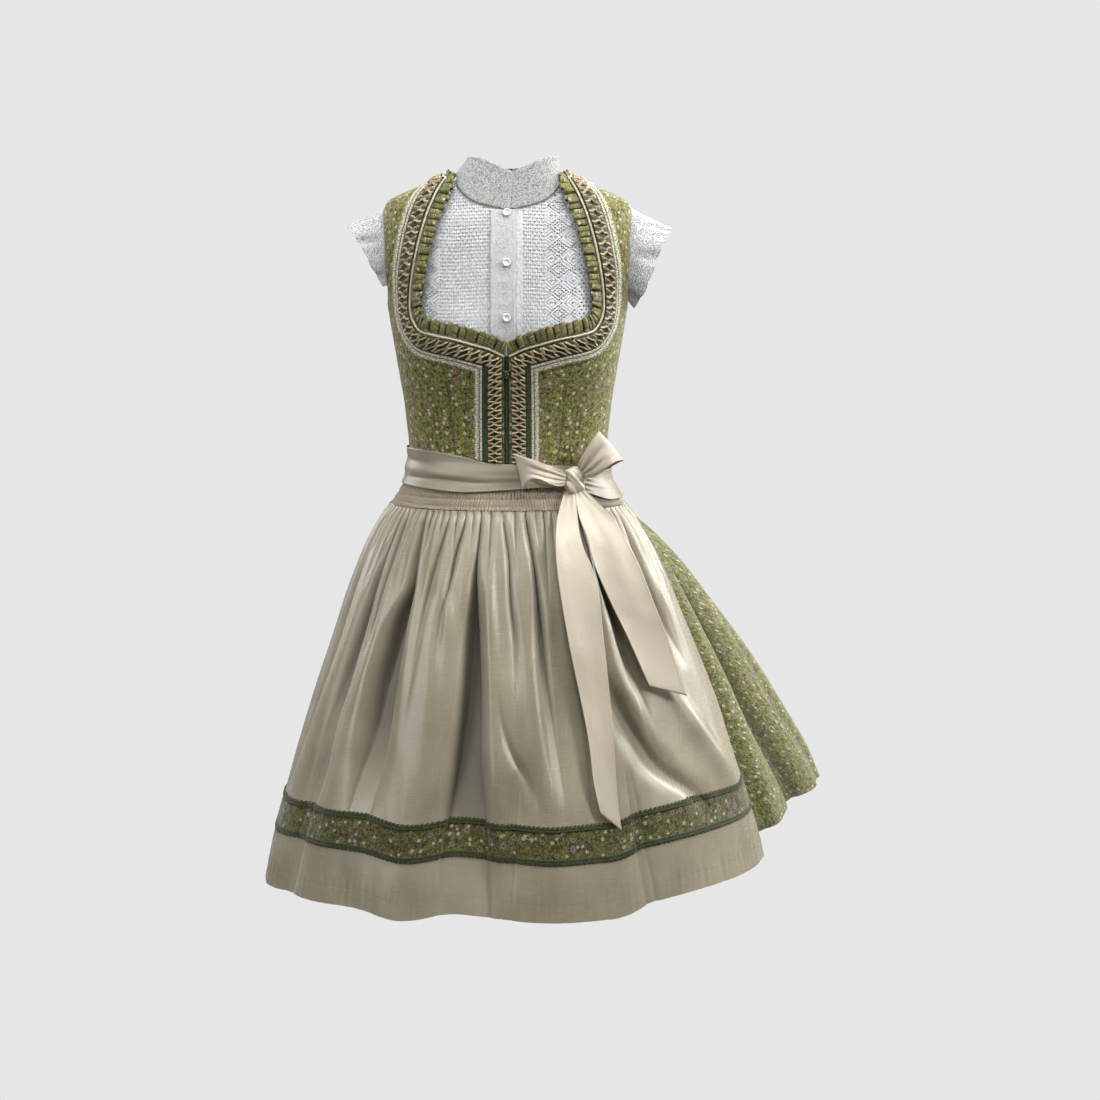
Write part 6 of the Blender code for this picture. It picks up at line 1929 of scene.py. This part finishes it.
def surfaces():
    """Every material of the piece, under the name of the cloth or the part that it is for."""
    look = SimpleNamespace()
    look.print = floral("olive floral cotton", (0.95, 0.94, 0.64))
    look.back_print = floral("olive floral cotton of the back", (0.95, 0.94, 0.64), seams=True)
    look.skirt_print = floral("olive floral cotton of the skirt", (0.80, 0.83, 0.60), 1.0, 0.78)
    look.hem_print = floral("olive floral cotton of the hem", (0.42, 0.42, 0.26), 1.12, 0.55)
    white = (0.68, 0.695, 0.70), (0.45, 0.465, 0.47)
    look.lace = white_lace("white lace", *white, bands=((0.0, OPENWORK),))
    look.front_lace = {side: white_lace(f"white lace {side}", *white, bands=BANDS[side]) for side in ("left", "right")}
    look.collar = white_lace("collar lace", (0.385, 0.397, 0.375), (0.140, 0.146, 0.132), mottle=1.15, fine=520.0)
    look.sleeve = white_lace("sleeve lace", (0.720, 0.735, 0.735), (0.250, 0.265, 0.265), mottle=1.15, fine=420.0)
    look.placket = white_lace("placket lace", (0.56, 0.57, 0.58), (0.42, 0.43, 0.44), rings=True, mottle=0.9)
    look.crochet = crochet("cream crochet", (0.70, 0.68, 0.54), (0.26, 0.245, 0.16))
    look.edging = crochet("dark green crochet", (0.050, 0.064, 0.020), (0.018, 0.025, 0.008))
    look.ribbon = ribbed("dark green ribbon", (0.050, 0.070, 0.028), (0.020, 0.032, 0.012), 0.5)
    look.braid = lipped("tan braid", (0.54, 0.46, 0.30), (0.24, 0.18, 0.09), (0.050, 0.038, 0.014))
    look.cord = ribbed("cream satin cord", (0.60, 0.56, 0.40), (0.38, 0.34, 0.21), 0.42, 0.0016, 0.3, 0.7)
    look.apron = satin("beige apron satin", (0.222, 0.192, 0.128), (0.352, 0.315, 0.228), 0.30, 0.3, hem_line=0.024)
    look.sash = satin("beige sash satin", (0.222, 0.196, 0.136), (0.345, 0.312, 0.228), 0.38)
    look.shirring = satin("beige shirring", (0.200, 0.160, 0.098), (0.320, 0.268, 0.180), 0.45)
    look.bow = satin("pale bow satin", (0.450, 0.385, 0.285), (0.640, 0.570, 0.460), 0.38, 0.4)
    # A darker copy of the bow satin, for the left loop: painted shade.
    look.turned = satin("bow satin darkened for painted shade", (0.330, 0.280, 0.200), (0.470, 0.412, 0.318), 0.42, 0.4)
    look.teeth = moulded("dark green zip teeth", (0.045, 0.085, 0.050), (0.015, 0.030, 0.018), 0.32)
    look.tape = ribbed("dark green zip tape", (0.030, 0.050, 0.026), (0.014, 0.024, 0.012), 0.7)
    look.slider = moulded("green enamelled slider", (0.10, 0.13, 0.09), (0.03, 0.05, 0.03), 0.28, 0.6)
    look.shell = moulded("pale buttons", (0.76, 0.77, 0.74), (0.52, 0.53, 0.50), 0.30, 0.0, 500.0)
    return look


def upper(look):
    """Blouse, bodice and the trims of the neckline."""
    for side in (1, -1):
        name = side_name(side)
        hang(blouse_front(side, look.front_lace[name]), f"blouse_front_{name}")
        hang(sleeve(name, side, SLEEVES[name], look.sleeve), f"blouse_sleeve_{name}")
        hang(bodice_front(side, look.print), f"bodice_front_{name}")
        hang(bodice_side(side, look.print), f"bodice_side_{name}")
        hang(ruffle(side, look.print), f"neck_ruffle_{name}")
        hang(ribbon(side, look.ribbon), f"neck_ribbon_{name}")
        hang(lace_trim(side, look.crochet), f"neck_lace_{name}")
        hang(braid(side, look.braid), f"neck_braid_{name}")
    hang(blouse_back(look.lace), "blouse_back")
    hang(placket(look.placket), "blouse_placket")
    for name in ("left", "right"):
        hang(collar_half(name, look.collar), f"blouse_collar_{name}")
    for number, height in enumerate(BUTTON_HEIGHTS, 1):
        hang(button(number, height, look.shell), f"blouse_button_{number}")
    hang(bodice_back(look.back_print), "bodice_back")
    for name, obj in piping(look.cord):
        hang(obj, name)
    hang(zip_teeth(look.teeth), None)
    hang(zip_slider(look.slider), "zip_slider")


def lower(look):
    """Skirt, apron and sash, and what the bow lies on."""
    for name, (start, end, columns, pitch) in SKIRT_CLOTHS.items():
        made = skirt_cloth(f"{name}_cloth", start, end, columns, look.skirt_print, pitch)
        hang(made, name)
    band = hang(apron_band(look.shirring), "apron_band")
    panel_cloth = hang(apron_panel(look.apron), "apron_panel")
    strip = apron_strip("apron_hem_print", *HEM_BAND, 14, 1.0 * MM, look.hem_print, 0.5 * MM)
    hang(strip, "apron_hem_band")
    for place, share in zip(("upper", "lower"), HEM_BAND):
        edge = crochet_edge(f"apron_edging_crochet_{place}", share, look.edging, place == "upper")
        hang(edge, f"apron_edging_{place}")
    belt = hang(sash(look.sash), "sash")
    braids = [bpy.data.objects[f"neck_braid_folds_{side}"] for side in ("left", "right")]
    return [band, panel_cloth, belt, *braids]


def bow(look, under):
    """The knot on the sash, its two loops and its two tails, which lie on what is under them."""
    lift = SASH_LIFT + SASH_WALL + 6 * SEAM + KNOT_SIZE[1] / 2
    middle = Vector(lay(math.radians(KNOT_ANGLE), KNOT_HEIGHT, lift))
    hang(knot(look.bow, middle), "bow_knot")
    frontmost = supports(under)
    for name in BOW_LOOPS:
        # The left loop takes the darker copy of the bow satin as painted shade.
        gloss = look.turned if name == "left" else look.bow
        hang(loop_cloth(name, middle, frontmost, gloss), f"bow_loop_{name}")
    for name, rows in TAILS.items():
        hang(tail_cloth(name, rows, middle, frontmost, look.bow), f"bow_tail_{name}")


def main():
    for obj in list(bpy.data.objects):
        if obj.type in ("CAMERA", "LIGHT") or obj.name == "Cube":
            bpy.data.objects.remove(obj)
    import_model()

    look = surfaces()
    upper(look)
    bow(look, lower(look))
    tape = bpy.data.objects["zip_tape"]
    tape.data.materials.clear()
    tape.data.materials.append(look.tape)

    backdrop()
    camera()
    for lamp in LIGHTS:
        light(*lamp)
    view = bpy.context.scene.view_settings
    view.view_transform, view.look, view.exposure, view.gamma = "Standard", "None", 0.0, 1.0


main()
